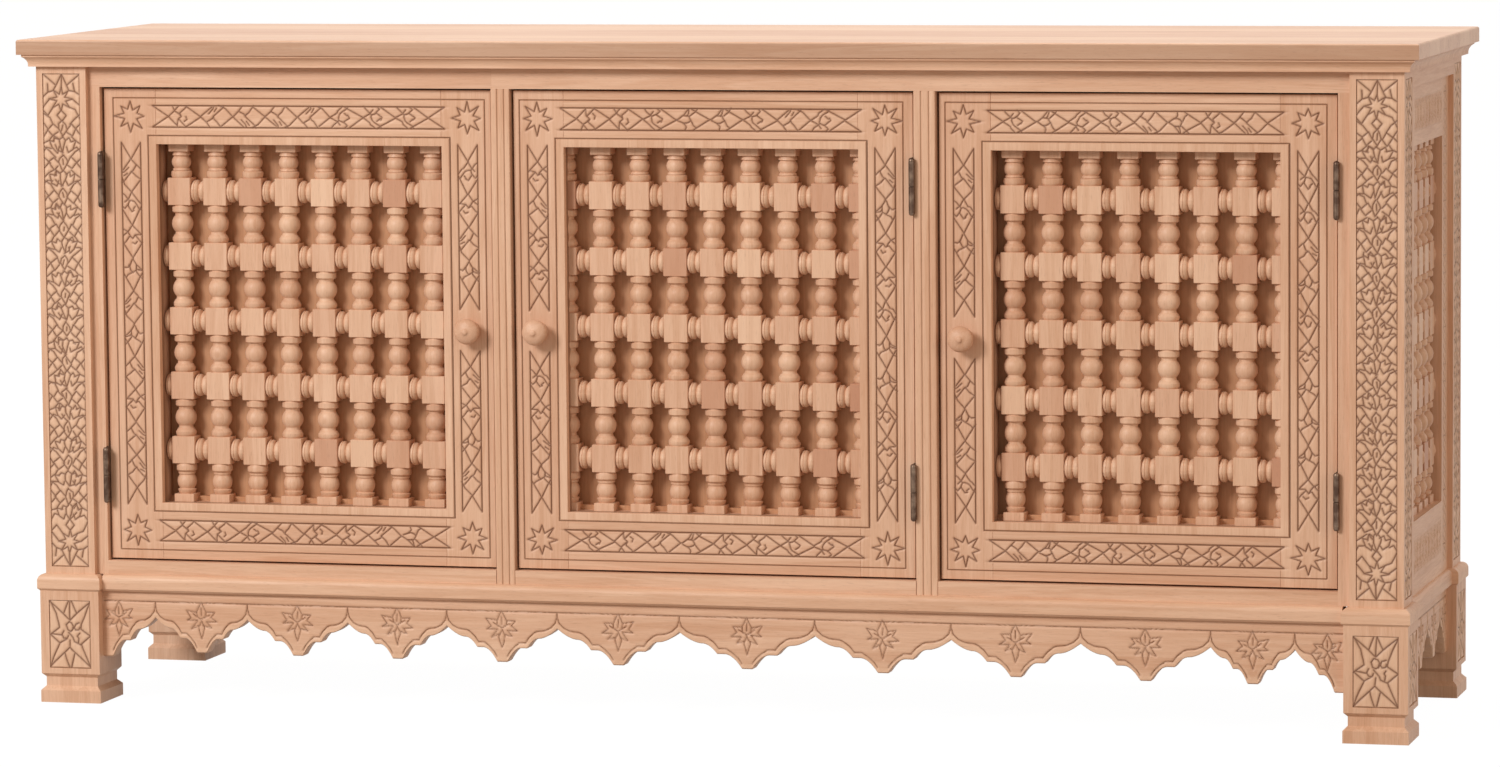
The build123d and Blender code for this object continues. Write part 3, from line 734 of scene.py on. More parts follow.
def groove(distance: Array, half_width: float, depth: float) -> Array:
    """Return the depth of a V groove: full on its line and falling evenly to its edges."""
    return depth * np.clip(1 - np.abs(distance) / half_width, 0, 1)


def star_chain(
    center: tuple[float, float], outer: float, inner: float, uneven: float, random: np.random.Generator
) -> Array:
    """Return the closed outline of a hand-cut star with eight points.

    The corners lie every 22.5 degrees, tips and notches in turn, and each one's distance from the
    centre is its radius times 1 plus a random share.

    Args:
        center: the star's middle.
        outer: the radius of the tips.
        inner: the radius of the notches.
        uneven: the largest random share.
        random: draws the shares.

    Returns:
        The corners, one (u, v) per row.
    """
    turn = np.arange(17) * np.pi / 8
    radius = np.where(np.arange(17) % 2 == 0, outer, inner) * (1 + uneven * random.uniform(-1, 1, 17))
    radius[-1] = radius[0]
    return np.stack((center[0] + radius * np.sin(turn), center[1] + radius * np.cos(turn)), axis=1)


def stroke_distance(u: Array, v: Array, strokes: Sequence[Array], waver: Array | float = 0.0) -> Array:
    """Return the distance from each point to the nearest of many strokes.

    Each stroke is a chain of straight chords; the distance to a chord is to its nearest point, found by
    projecting onto it and holding the share between 0 and 1.

    Args:
        u: places across.
        v: places up.
        strokes: chains of points, each with one (u, v) per row.
        waver: how far each place is moved across before it is measured.

    Returns:
        Distances in the shape of u.
    """
    nearest = np.full(u.shape, FAR)
    floor, ceiling = v.min(axis=1), v.max(axis=1)
    moved = u + waver
    for stroke in strokes:
        for start, end in zip(stroke[:-1], stroke[1:]):
            low, high = np.minimum(start, end) - WINDOW, np.maximum(start, end) + WINDOW
            columns = np.flatnonzero((u[0] >= low[0]) & (u[0] <= high[0]))
            rows = np.flatnonzero((ceiling >= low[1]) & (floor <= high[1]))
            if not len(rows) or not len(columns):
                continue
            part = np.s_[rows[0] : rows[-1] + 1, columns[0] : columns[-1] + 1]
            run = end - start
            off_u, off_v = moved[part] - start[0], v[part] - start[1]
            share = np.clip((off_u * run[0] + off_v * run[1]) / max(run @ run, 1e-9), 0, 1)
            gap = np.hypot(off_u - share * run[0], off_v - share * run[1])
            nearest[part] = np.minimum(nearest[part], gap)
    return nearest


def chip_depth(distance: Array, floor: float, crest: float, half_width: float, pillow: float) -> Array:
    """Return chip-carved relief: a V cut on each line and a pillow that rounds down to it.

    Args:
        distance: the distance to the nearest line.
        floor: the depth on the line.
        crest: the depth on top of the pillows.
        half_width: the half width of the V cut.
        pillow: how far the rounding reaches from the line.

    Returns:
        The depth at each point.
    """
    cut = np.clip(1 - distance / half_width, 0, 1)
    rounding = np.clip(1 - distance / pillow, 0, 1) ** 2
    return crest + (floor - crest) * np.maximum(cut, ROUNDING_SHARE * rounding)


# ---------------------------------------------------------------- doors


MOTIF_HALF = 13.5
BAND_MOTIFS = (
    (42.0, (
        ((0, 0), (0, 2), (-4.7, 8.7), (-6.4, 10.5), (-10.2, 13.4), (-13.5, 15.5)),
        ((1.2, 2.3), (4.4, 8.7), (5, 11.6), (3.2, 16), (0.9, 18.6)),
        ((-4.7, 8.7), (-4.4, 15.4), (0.9, 18.6)), ((-4.4, 13.5), (-7, 15.4), (-13, 16.6)),
        ((4.4, 8.7), (6.7, 11.6), (9, 12.8), (13.5, 11.5)), ((-4.1, 17.5), (-10, 24.4), (-13.5, 27)),
        ((0.9, 18.6), (7.3, 21.8), (10, 25)), ((-13.5, 19), (-9.3, 25), (0, 42)),
        ((13.5, 20), (10.5, 25), (0, 42)),
    )),
    (48.0, (
        ((0, 0), (-12.3, 13.7)), ((0, 0), (6.6, 9.7), (13.5, 15.5)),
        ((13.5, 6.5), (6.6, 10.3), (3.5, 15), (0.3, 19.4)),
        ((-12.3, 13.7), (-8.9, 13.7), (-3.7, 14.3), (0.3, 19.4)), ((-3.7, 15.4), (-13.5, 27)),
        ((0.3, 19.4), (4.3, 17.2), (10, 25.2), (12.9, 26.9)), ((-6.5, 24), (-3.7, 27.5), (0, 26)),
        ((-13.5, 25), (-10, 31.5), (0, 48)), ((13.5, 24), (12.9, 26.9), (0, 48)),
    )),
    (44.0, (
        ((0, 0), (-5.8, 9.2), (-8.6, 10.6), (-13.5, 17)), ((0, 0), (4.6, 9.2), (9.8, 13.6)),
        ((13.5, 1.5), (9.8, 4.6), (4, 11.5)),
        ((-13.5, 25), (-10.4, 22.4), (-5.8, 15.5), (-3.4, 12.7), (1.1, 11.2), (3.7, 12), (5.2, 16),
         (6, 18.4)),
        ((6, 18.4), (10.3, 22.7), (13.5, 19)), ((5.5, 18.5), (0.3, 26), (-3, 24)),
        ((-4.6, 19.5), (-1.7, 23)), ((-13.5, 19), (-10.4, 24.7), (-0.6, 44)), ((13.2, 24.1), (0, 44)),
    )),
    (43.0, (
        ((0, 0), (-12, 14.5)), ((0, 0), (7, 7.5), (3, 15), (0, 17)), ((7, 7.5), (13.5, 13)),
        ((-4, 11), (-10, 17), (-13.5, 18)), ((-6, 19), (-10.5, 22)), ((0, 17), (-10, 28.5), (-13.5, 31)),
        ((0, 17), (2.5, 18), (6, 22), (13.5, 27)), ((-13.5, 25), (-10, 33), (0, 43)), ((12, 28), (0, 43)),
    )),
)


@dataclass
class DoorCarving:
    """The incised bands, corner stars and grooves on the face of one door.

    Places are measured from the lower left corner of the door.
    """

    width: float
    height: float
    knob: tuple[float, float]
    stiles: tuple[float, float]
    seed: int
    stile_offset: float = 36.0
    stile_half: float = 13.5
    top_band: tuple[float, float] = (22.5, 51.3)
    bottom_band: tuple[float, float] = (24.0, 52.0)
    groove_offset: float = 60.0
    groove_levels: tuple[float, float] = (12.5, 12.0)
    star_radius: float = 20.5
    star_inner: float = 9.6
    star_uneven: float = 0.13
    star_clear: tuple[float, float] = (31.0, 35.0)
    knob_clear: float = 27.0
    repeat: float = 43.0
    wander: float = 0.3
    cut_half: float = 1.75
    cut_depth: float = 1.9
    pillow: float = 3.4
    groove_size: tuple[float, float] = (1.3, 1.5)

    def __post_init__(self) -> None:
        """Draw every stroke of the door once."""
        left, right = self.stiles[0], self.width - self.stiles[1]
        self.middles = (left - self.stile_offset, right + self.stile_offset)
        self.levels = (sum(self.bottom_band) / 2, self.height - sum(self.top_band) / 2)
        self.grooves = (left - self.groove_offset, right + self.groove_offset)
        random = np.random.default_rng(self.seed)
        self.strokes = [
            star_chain((middle, level), self.star_radius, self.star_inner, self.star_uneven, random)
            for middle in self.middles
            for level in self.levels
        ]
        low, high = self.levels[0] + self.star_clear[1], self.levels[1] - self.star_clear[1]
        for middle in self.middles:
            runs = [(low, high)]
            if abs(self.knob[0] - middle) < self.stile_offset:
                runs = [(low, self.knob[1] - self.knob_clear), (self.knob[1] + self.knob_clear, high)]
            for run in runs:
                self.strokes += self._band(run, middle, self.stile_half, True, random)
        run = (self.middles[0] + self.star_clear[0], self.middles[1] - self.star_clear[0])
        for level, band in zip(self.levels, (self.bottom_band, self.top_band)):
            self.strokes += self._band(run, level, (band[1] - band[0]) / 2, False, random)

    def _band(
        self, run: tuple[float, float], middle: float, half: float, upright: bool, random: np.random.Generator
    ) -> list[Array]:
        """Draw one band: two edge lines, crossings at even steps, and a motif between them.

        Args:
            run: where the band starts and ends along its member.
            middle: where the band's middle lies across its member.
            half: half the band's width.
            upright: whether the member stands up.
            random: picks the motifs, turns them over and lets the knife wander a little.

        Returns:
            The strokes, in places on the door.
        """
        low, high = run
        count = max(1, round((high - low) / self.repeat))
        pitch = (high - low) / count
        chains = [np.array(((side * half, low), (side * half, high))) for side in (-1, 1)]
        for end, inward in ((low, 0.5), (high, -0.5)):
            chains += [np.array(((side * half, end), (0, end + inward * pitch))) for side in (-1, 1)]
        for number in range(count - 1):
            length, motif = BAND_MOTIFS[random.integers(len(BAND_MOTIFS))]
            scale = (random.choice((-1, 1)) * half / MOTIF_HALF, pitch / length)
            for chain in motif:
                points = np.array(chain, float) + random.normal(0, self.wander, (len(chain), 2))
                chains.append(points * scale + (0, low + (number + 0.5) * pitch))
        if upright:
            return [np.stack((middle + chain[:, 0], low + high - chain[:, 1]), axis=1) for chain in chains]
        return [np.stack((chain[:, 1], middle - chain[:, 0]), axis=1) for chain in chains]

    def depth(self, x: Array, z: Array) -> Array:
        """Work out how deep the carving lies.

        Args:
            x: places across the door.
            z: places up the door.

        Returns:
            The depth at each place.
        """
        distance = stroke_distance(x, z, self.strokes)
        total = chip_depth(distance, self.cut_depth, 0.0, self.cut_half, self.pillow)
        across = np.minimum(x - self.grooves[0], self.grooves[1] - x)
        up = np.minimum(self.height - self.groove_levels[0] - z, z - self.groove_levels[1])
        return np.maximum(total, groove(np.minimum(across, up), *self.groove_size))


# Turned profiles as (place along the axis, radius): the foot and the head of the turning between two
# blocks, those of the short one at an end block, the disc and the cap of a cross piece, and the knob.  The
# two lengths are the gaps that the first two are drawn for.
BALL_LENGTH = 50.0
END_LENGTH = 36.0
BALL_FOOT = (
    (-0.4, 12.0), (1.2, 13.3), (2.8, 14.0), (6.2, 14.0), (7.3, 13.2), (10.2, 11.6), (11.0, 10.2),
    (13.6, 9.6),
)
BALL_HEAD = (
    (36.8, 9.7), (39.2, 9.9), (40.3, 12.6), (41.4, 13.7), (47.6, 13.8), (48.5, 12.8), (50.4, 11.8),
)
END_FOOT = (
    (-0.4, 10.2), (0.6, 10.6), (1.2, 11.4), (5.0, 12.6), (5.6, 11.6), (6.0, 9.9),
)
END_HEAD = (
    (23.1, 10.2), (23.5, 11.5), (25.6, 11.8), (26.1, 10.8), (26.8, 12.8), (28.2, 14.0), (33.2, 14.1),
    (35.2, 13.2), (36.4, 12.2),
)
SPOOL_DISC = (
    (0.2, 11.0), (0.9, 13.4), (2.2, 14.9), (3.6, 15.1), (4.1, 14.3), (4.7, 15.2), (6.2, 14.9), (7.6, 13.4),
    (8.6, 11.2),
)
SPOOL_CAP = (
    (9.2, 12.2), (10.4, 13.8), (12.3, 14.4), (14.0, 13.9), (14.8, 12.9),
)
KNOB = (
    (0, 12.4), (1.4, 13), (3.0, 12.8), (4.2, 11.0), (5.2, 8.6), (7.5, 7.4), (11, 7.4), (13, 9.2),
    (15, 13.6), (17.4, 16.6), (19.5, 17.0), (21.6, 16.4), (24, 14.4), (26.2, 11.2), (27.4, 7.6),
    (27.9, 4.4), (28.4, 4.0), (29.4, 3.4), (30.0, 1.6),
)

# The section of the sight moulding as (distance out from the opening, depth behind the door's face).
SIGHT_SECTION = (
    (0.0, 10.0), (0.0, 0.9), (0.35, 0.3), (0.9, 0.05), (9.8, 0.05), (10.6, 0.85), (11.5, 1.7), (12.0, 1.1),
    (12.0, 10.0),
)


@dataclass(frozen=True)
class Opening:
    """The opening of a lattice: its edges, the places of its uprights and rows, and how it lies."""

    low: float
    high: float
    bottom: float
    top: float
    columns: Array
    rows: Array
    depth_place: float
    axis: Grain

    def at(self, across: Any, height: Any) -> Array:
        """Return places in the middle plane of the lattice, one per row.

        Args:
            across: places across the opening.
            height: heights above the floor, in a shape that fits the places.

        Returns:
            The places in the frame of the model.
        """
        across, height = np.broadcast_arrays(across, height)
        depth = np.full(across.shape, self.depth_place)
        parts = (across, depth, height) if self.axis is Grain.ALONG_X else (depth, across, height)
        return np.stack(parts, axis=-1).reshape(-1, 3)


def turned_ball(middle: float, half: float, radius: float, fall: float, count: int) -> Array:
    """Return the profile of a ball with its two ends cut off.

    At a share s of the way from the middle to an end, the radius is the ball's times the root of 1 less
    the fall times s squared.

    Args:
        middle: where its middle lies along the axis.
        half: half its length.
        radius: its radius at the middle.
        fall: how far the ends are drawn in.
        count: the number of points.

    Returns:
        Rows of (place along the axis, radius).
    """
    share = np.sin(np.linspace(-1, 1, count) * np.pi / 2)
    return np.stack((middle + half * share, radius * np.sqrt(1 - fall * share**2)), axis=1)


@dataclass
class LatticeTurning:
    """The turned uprights and cross pieces of the lattice, in millimetres."""

    block: tuple[float, float, float] = (31.8, 26.0, 36.6)
    end_block: float = 10.6
    end_width: float = 27.7
    lap: float = 0.4
    ease: float = 0.7
    facets: int = 14
    ball_radius: float = 14.6
    end_ball_radius: float = 13.4
    shortest_spool: float = 3.0
    shortest_capped: float = 13.0

    def ball_profile(self, length: float) -> Array:
        """Return the profile between two blocks: bullnose ring, cove, ball, cove, bullnose ring."""
        ball = turned_ball(25.2, 10.9, self.ball_radius, 0.56, 9)
        return np.concatenate((BALL_FOOT, ball, BALL_HEAD)) * (length / BALL_LENGTH, 1)

    def end_profile(self, length: float, up: bool) -> Array:
        """Return the short profile between an end block and the first or last row.

        From the end block come a small cone, a flattened ball, a thin ring, and a bullnose ring that
        lies against the row's block.

        Args:
            length: the gap between the blocks.
            up: whether the end block is below.

        Returns:
            Rows of (place along the axis, radius).
        """
        ball = turned_ball(14.6, 8.0, self.end_ball_radius, 0.45, 7)
        profile = np.concatenate((END_FOOT, ball, END_HEAD)) * (length / END_LENGTH, 1)
        return profile if up else (profile * (-1, 1) + (length, 0))[::-1]

    def spool_profile(self, length: float) -> Array:
        """Return the profile of a cross piece: a grooved disc and, where there is room, a bulged cap.

        Args:
            length: the gap between the blocks.

        Returns:
            Rows of (place along the axis, radius).
        """
        profile = np.array(SPOOL_DISC + SPOOL_CAP if length > self.shortest_capped else SPOOL_DISC)
        turned = profile * (length / profile[-1, 0], 1)
        neck = SPOOL_DISC[0][1]
        return np.concatenate((((-self.lap, neck),), turned, ((length + self.lap, neck),)))

    def uprights(self, opening: Opening, random: np.random.Generator) -> Shell:
        """Turn the uprights of one opening.

        Args:
            opening: the opening that they fill.
            random: draws the tones of the blocks and of the turnings.

        Returns:
            The uprights.
        """
        shell = Shell()
        columns, rows = opening.columns, opening.rows
        edges = (opening.low - self.lap, opening.high + self.lap)
        span = np.array(((-FAR,) * 3, (FAR,) * 3))
        span[:, opening.axis.value] = edges
        wide, deep, tall = self.block
        count = len(columns) * len(rows)
        tones = random.normal(0.0, 0.2, count)
        block_tones = np.clip(tones + 0.7 * (random.random(count) < 0.12), -0.4, 0.9)
        end_tall, inset = self.end_block + self.lap, (self.end_block - self.lap) / 2
        for levels, width, height, tones in (
            (rows, wide, tall, block_tones),
            (np.array([opening.bottom + inset]), self.end_width, end_tall, 0.05),
            (np.array([opening.top - inset]), self.end_width, end_tall, 0.05),
        ):
            low = np.maximum(columns - width / 2, edges[0])
            high = np.minimum(columns + width / 2, edges[1])
            centers = opening.at(((low + high) / 2)[:, None], levels[None, :])
            sizes = np.full((len(centers), 3), deep)
            sizes[:, opening.axis.value] = np.repeat(high - low, len(levels))
            sizes[:, 2] = height
            shell.add_boxes(centers, sizes, self.ease, tones)
        starts = opening.at(columns[:, None], rows[None, :-1] + tall / 2)
        tones = np.clip(random.normal(0.05, 0.16, len(starts)), -0.3, 0.5)
        between = self.ball_profile(rows[1] - rows[0] - tall)
        shell.add_turnings(starts, Grain.ALONG_Z, between, self.facets, tones, span)
        first = rows[0] - tall / 2 - opening.bottom - self.end_block
        last = opening.top - self.end_block - rows[-1] - tall / 2
        for height, profile in (
            (opening.bottom + self.end_block, self.end_profile(first, True)),
            (rows[-1] + tall / 2, self.end_profile(last, False)),
        ):
            shell.add_turnings(opening.at(columns, height), Grain.ALONG_Z, profile, self.facets, 0.05, span)
        return shell

    def spools(self, opening: Opening) -> Shell:
        """Turn the cross pieces of every row, between the blocks and out to the frame.

        Args:
            opening: the opening that they fill.

        Returns:
            The cross pieces.
        """
        shell = Shell()
        half = self.block[0] / 2
        sides = np.stack((opening.columns - half, opening.columns + half), axis=1)
        edges = (opening.low, *np.clip(sides, opening.low, opening.high).ravel(), opening.high)
        for start, end in zip(edges[::2], edges[1::2]):
            if end - start >= self.shortest_spool:
                profile = self.spool_profile(end - start)
                shell.add_turnings(opening.at(start, opening.rows), opening.axis, profile, self.facets, 0.02)
        return shell


@dataclass
class Door:
    """One lattice door: carved frame, sight moulding, turned lattice, backing, knob and hinges."""

    name: str
    columns_from: float
    column_pitch: float
    column_count: int
    knob_on_left: bool
    seed: int
    hinge_stile: float = 73.0
    free_stile: float = 68.2
    top_rail: float = 74.0
    bottom_rail: float = 75.6
    moulding: float = 12.0
    moulding_depth: float = 10.0
    thickness: float = 34.0
    row_rise: float = 69.6
    row_pitch: float = 86.6
    row_count: int = 5
    lattice_setback: float = 30.0
    knob_inset: float = 31.0
    step: float = 0.95
    long_step: float = 1.25
    star_reach: float = 24.0
    star_step: float = 1.5
    knob_height: float = 508.0
    joint: tuple[float, float] = (1.5, 1.6)
    arris: float = 0.6
    plain_margin: float = 14.0
    closest_lines: float = 0.06
    widest_lines: float = 16.0

    def __post_init__(self) -> None:
        """Read the door's place from the frame."""
        low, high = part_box(f"{self.name}_door_stiles")
        self.left, self.right = low.x / MM, high.x / MM
        self.front, self.bottom, self.top = low.y / MM, low.z / MM, high.z / MM
        self.body = f"{self.name}_door"
        knob_x = self.left + self.knob_inset if self.knob_on_left else self.right - self.knob_inset
        self.knob_place = (knob_x, self.knob_height)
        stiles = (self.free_stile, self.hinge_stile)
        self.stiles = stiles if self.knob_on_left else stiles[::-1]
        self.sight = (self.left + self.stiles[0], self.right - self.stiles[1])
        knob = (knob_x - self.left, self.knob_height - self.bottom)
        size = (self.right - self.left, self.top - self.bottom)
        self.carving = DoorCarving(*size, knob, self.stiles, self.seed)

    def build(self, timber: Timber, turning: LatticeTurning) -> None:
        """Build every piece of the door.

        Args:
            timber: the store of finishes.
            turning: what turns the lattices.
        """
        self._frame(timber)
        self._sight_moulding(timber)
        self._lattice(timber, turning)
        self._knob(timber)

    def _depth(self, x: Array, z: Array) -> Array:
        """Work out the depth of the door's face, with the seat of the sight moulding and its joint.

        Args:
            x: places across the door.
            z: places up the door.

        Returns:
            The depth at each place.
        """
        width, height = self.carving.width, self.carving.height
        beyond_x = np.maximum(self.stiles[0] - x, x - width + self.stiles[1])
        beyond_z = np.maximum(self.bottom_rail - z, z - height + self.top_rail)
        beyond = np.maximum(beyond_x, beyond_z) - self.moulding
        plain = np.maximum(self.carving.depth(x, z), groove(beyond + 0.5, *self.joint))
        return np.where(beyond < 0, self.moulding_depth, plain)

    def _lines(
        self, member: tuple[float, float], spans: list[tuple[float, float, float]], marks: list[float]
    ) -> Array:
        """Return the grid lines of one member in one direction.

        Args:
            member: where the member starts and ends.
            spans: stretches of the whole door as (start, end, step).
            marks: single lines of the whole door.

        Returns:
            The lines in order, each clear of the one before.
        """
        low, high = member
        near = (low + 0.3, low + 0.8, high - 0.8, high - 0.3)
        places = [even_lines(low, high, self.widest_lines), near]
        for start, end, step in spans:
            start, end = max(start, low), min(end, high)
            if end > start:
                places.append(even_lines(start, end, step))
        places.append([mark for mark in marks if low < mark < high])
        merged = np.unique(np.round(np.concatenate(places), 3))
        return merged[np.concatenate(([True], np.diff(merged) > self.closest_lines))]

    def _frame(self, timber: Timber) -> None:
        """Carve the two stiles and the two rails.

        The grid is fine over the bands and the stars and wide elsewhere, with lines on every groove and
        on both sides of the step down to the seat of the sight moulding.

        Args:
            timber: the store of finishes.
        """
        carving, out = self.carving, self.moulding
        width, height = carving.width, carving.height
        left, right = self.stiles[0], width - self.stiles[1]
        lower, upper = self.bottom_rail, height - self.top_rail
        sides = [middle + side * carving.stile_half for middle in carving.middles for side in (-1, 1)]
        frames = (carving.groove_levels[1], height - carving.groove_levels[0])
        bands = (*carving.bottom_band, *(height - level for level in carving.top_band))
        marks_x, marks_z = (
            [place + offset for place in places for offset in (-1.4, 0.0, 1.4)]
            + [seat + offset for seat in seats for offset in (-0.04, 0.04)]
            + [seats[0] - 1.0, seats[1] + 1.0]
            for places, seats in (
                ((*carving.grooves, *sides), (left - out, right + out)),
                ((*frames, *bands), (lower - out, upper + out)),
            )
        )
        spans_x, spans_z = (
            [(place - near, place + near, self.step) for place in places]
            + [(place - self.star_reach, place + self.star_reach, self.star_step) for place in places]
            for places, near in ((carving.middles, 15.5), (carving.levels, 16.0))
        )
        spans_x += [(edge - 6, edge + 6, 1.2) for edge in (left, right)]
        margin = self.plain_margin
        whole_x, whole_z = ([(margin, size - margin, self.long_step)] for size in (width, height))
        upright, level = Grain.ALONG_Z, Grain.ALONG_X
        face = front_face(self.left, self.front, self.bottom)
        for part, grain, across_spans, up_spans, members in (
            ("stiles", upright, spans_x, whole_z, ((0, left, 0, height), (right, width, 0, height))),
            ("rails", level, whole_x, spans_z, ((left, right, 0, lower), (left, right, upper, height))),
        ):
            shell = Shell()
            for tone, (x0, x1, z0, z1) in zip((0.1, -0.05), members):
                u = self._lines((x0, x1), across_spans, marks_x)
                v = self._lines((z0, z1), up_spans, marks_z)
                across, up = np.meshgrid(u, v)
                edge = np.minimum(np.minimum(across - x0, x1 - across), np.minimum(up - z0, z1 - up))
                depth = np.maximum(self._depth(across, up), round_over(edge, self.arris))
                add_board(shell, face, u, v, depth, self.thickness, 1.5, tone + 0.03 * self.seed)
            finish = timber.wood(grain, seed=self.seed)
            piece = shell.build(f"{self.name}_door_carved_{part}", finish, self.body)
            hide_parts(f"{self.name}_door_{part}")

    def _sight_moulding(self, timber: Timber) -> None:
        """Carry the sight moulding round the opening with mitred corners.

        A point of its section is (distance out from the opening, depth behind the door's face), and at
        each corner both coordinates of the opening's corner move out by that distance.

        Args:
            timber: the store of finishes.
        """
        out, depth = np.array(SIGHT_SECTION).T
        left, right = self.sight
        bottom, top = self.bottom + self.bottom_rail, self.top - self.top_rail
        corners = (
            (left - out, bottom - out),
            (right + out, bottom - out),
            (right + out, top + out),
            (left - out, top + out),
        )
        stops = np.stack([np.stack((x, self.front + depth, z), axis=-1) for x, z in corners])
        shell = Shell()
        # painted shade in the V groove where the moulding meets the frame
        shell.add_run(stops, np.clip(1 - np.abs(out - 11.5) / 1.6, 0, 1), closed=True)
        finish = timber.wood(Grain.ALONG_Z, tone=-0.05, seed=self.seed + 0.4)
        piece = shell.build(f"{self.name}_door_turned_sight_moulding", finish, self.body)
        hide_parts(f"{self.name}_door_sight_moulding")

    def _lattice(self, timber: Timber, turning: LatticeTurning) -> None:
        """Turn the uprights and the cross pieces.

        Args:
            timber: the store of finishes.
            turning: what turns the lattices.
        """
        bottom, top = self.bottom + self.bottom_rail, self.top - self.top_rail
        columns = self.sight[0] + self.columns_from + self.column_pitch * np.arange(self.column_count)
        rows = bottom + self.row_rise + self.row_pitch * np.arange(self.row_count)
        middle = self.front + self.lattice_setback
        opening = Opening(*self.sight, bottom, top, columns, rows, middle, Grain.ALONG_X)
        shell = turning.uprights(opening, np.random.default_rng(self.seed))
        finish = timber.wood(Grain.ALONG_Z, seed=self.seed + 0.2)
        piece = shell.build(f"{self.name}_door_turned_uprights", finish, self.body)
        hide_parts(f"{self.name}_door_lattice_spindles")
        finish = timber.wood(Grain.ALONG_X, tone=-0.15, seed=self.seed + 0.3)
        piece = turning.spools(opening).build(f"{self.name}_door_turned_spools", finish, self.body)
        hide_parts(f"{self.name}_door_lattice_spools")

    def _knob(self, timber: Timber) -> None:
        """Turn the knob: a base disc, a waist, and a round head with a small nipple.

        Args:
            timber: the store of finishes.
        """
        profile = (np.array(KNOB) * (-1, 1))[::-1]
        shell = Shell()
        center = np.array([[self.knob_place[0], self.front + 0.2, self.knob_place[1]]])
        shell.add_turnings(center, Grain.ALONG_Y, profile, 40)
        finish = timber.wood(Grain.ALONG_Y, tone=0.25, seed=self.seed + 0.6)
        piece = shell.build(f"{self.name}_door_turned_knob", finish, self.body, sharp=50)
        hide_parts(f"{self.name}_door_knob")


# ---------------------------------------------------------------- hinges


@dataclass
class Hinges:
    """The lift-off hinges: plates against the timber and round knuckles with domed tips."""

    doors: list[Door]
    height: float = 75.0
    radius: float = 4.0
    gap: float = 2.5
    seam: float = 0.4
    plate: float = 0.95
    plate_depth: float = 28.0
    from_top: float = 120.5
    from_bottom: float = 113.0
    facets: int = 28
    reveal: float = 9.0
    clearance: float = 0.3
    neck_start: float = 2.2
    neck_lap: float = 0.2
    tip_room: float = 2.5
    ease: float = 0.15

    def _axis_y(self, door: Door) -> float:
        """Return how far forward the pins stand: just clear of the face of the cabinet's frame."""
        return door.front - self.reveal - self.clearance - self.radius

    def _half(self, shell: Shell, door: Door, edge: float, toward: int, level: float, up: int) -> None:
        """Add a plate and its knuckle.

        Args:
            shell: what they are added to.
            door: the door that the hinge carries.
            edge: where the timber's edge lies across.
            toward: the way from the edge into the timber, -1 or 1.
            level: the height of the seam.
            up: whether they lie above (1) or below (-1) the seam.
        """
        axis_y = self._axis_y(door)
        axis_x = edge - toward * self.gap / 2
        inner, outer = self.seam / 2, self.height / 2
        foot = np.array(((0.0, 3.5), (0.4, 3.95), (0.8, 4.0))) + (inner, 0)
        tip = np.array(((5.2, 4.0), (4.9, 3.7), (4.5, 4.0), (2.2, 3.7), (1.0, 3.0), (0.2, 1.7), (0.0, 0.5)))
        rows = np.concatenate((foot, tip * (-1, 1) + (outer, 0)))
        profile = rows if up > 0 else (rows * (-1, 1))[::-1]
        shell.add_turnings(np.array([[axis_x, axis_y, level]]), Grain.ALONG_Z, profile, self.facets)
        middle_x = edge - toward * self.plate / 2
        back, front = axis_y + self.plate_depth, axis_y + self.radius + self.clearance
        whole = np.array([[middle_x, (back + front) / 2, level]])
        shell.add_boxes(whole, (self.plate, back - front, self.height), self.ease)
        start, high = axis_y + self.neck_start, outer - self.tip_room
        neck = np.array([[middle_x, (front + start) / 2, level + up * (inner + high) / 2]])
        shell.add_boxes(neck, (self.plate, front - start + self.neck_lap, high - inner), self.ease)

    def build(self, timber: Timber) -> None:
        """Build the leaves of the doors and the leaves of the frame.

        Args:
            timber: the store of finishes.
        """
        frame_leaves = Shell()
        for door in self.doors:
            levels = (door.bottom + self.from_bottom, door.top - self.from_top)
            edge = door.right if door.knob_on_left else door.left
            toward = -1 if door.knob_on_left else 1
            leaves = Shell()
            for level in levels:
                self._half(leaves, door, edge, toward, level, 1)
                self._half(frame_leaves, door, edge - toward * self.gap, -toward, level, -1)
            name = f"{door.name}_door_round_hinge_leaves"
            piece = leaves.build(name, timber.metal(), door.body, Slot.HINGE_METAL)
            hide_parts(f"{door.name}_door_hinge_leaves")
        piece = frame_leaves.build("round_hinge_frame_leaves", timber.metal(), slot=Slot.HINGE_METAL)
        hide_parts("hinge_frame_leaves")


# ---------------------------------------------------------------- posts and legs


# The knotwork of the posts as (across, down): how long one repeat is and how much room a star takes at
# each end of a panel, what the repeat has round the middle line and at one side of it, and the lines that
# run out of the star, from its middle.
POST_REPEAT = 44.0
POST_STAR_ROOM = 62.0
POST_MIDDLE = (
    ((0, 1), (5, 7), (6, 12), (0, 22), (-5.5, 12), (-4.5, 6), (0, 1)), ((0, 7), (0, 14)),
    ((0, 22), (-4.5, 26), (-3, 33), (0, 43), (3.5, 34), (5, 27), (0, 22)),
    ((-4.5, 26), (-10, 21), (-12, 29)), ((-9, 34), (-6, 39), (0, 43)),
)
POST_SIDE = (
    ((6, 12), (12, 5), (20, 12), (14, 21), (6.5, 15)), ((12, 5), (17, -3), (27, -9)), ((20, 12), (27, 4)),
    ((14, 21), (19, 27), (27, 31)), ((12, 29), (19, 27), (15, 37), (8, 42), (5, 35)),
    ((15, 37), (22, 36), (27, 43)), ((5, 27), (10, 24), (12, 29)), ((20, 12), (27, 20)),
)
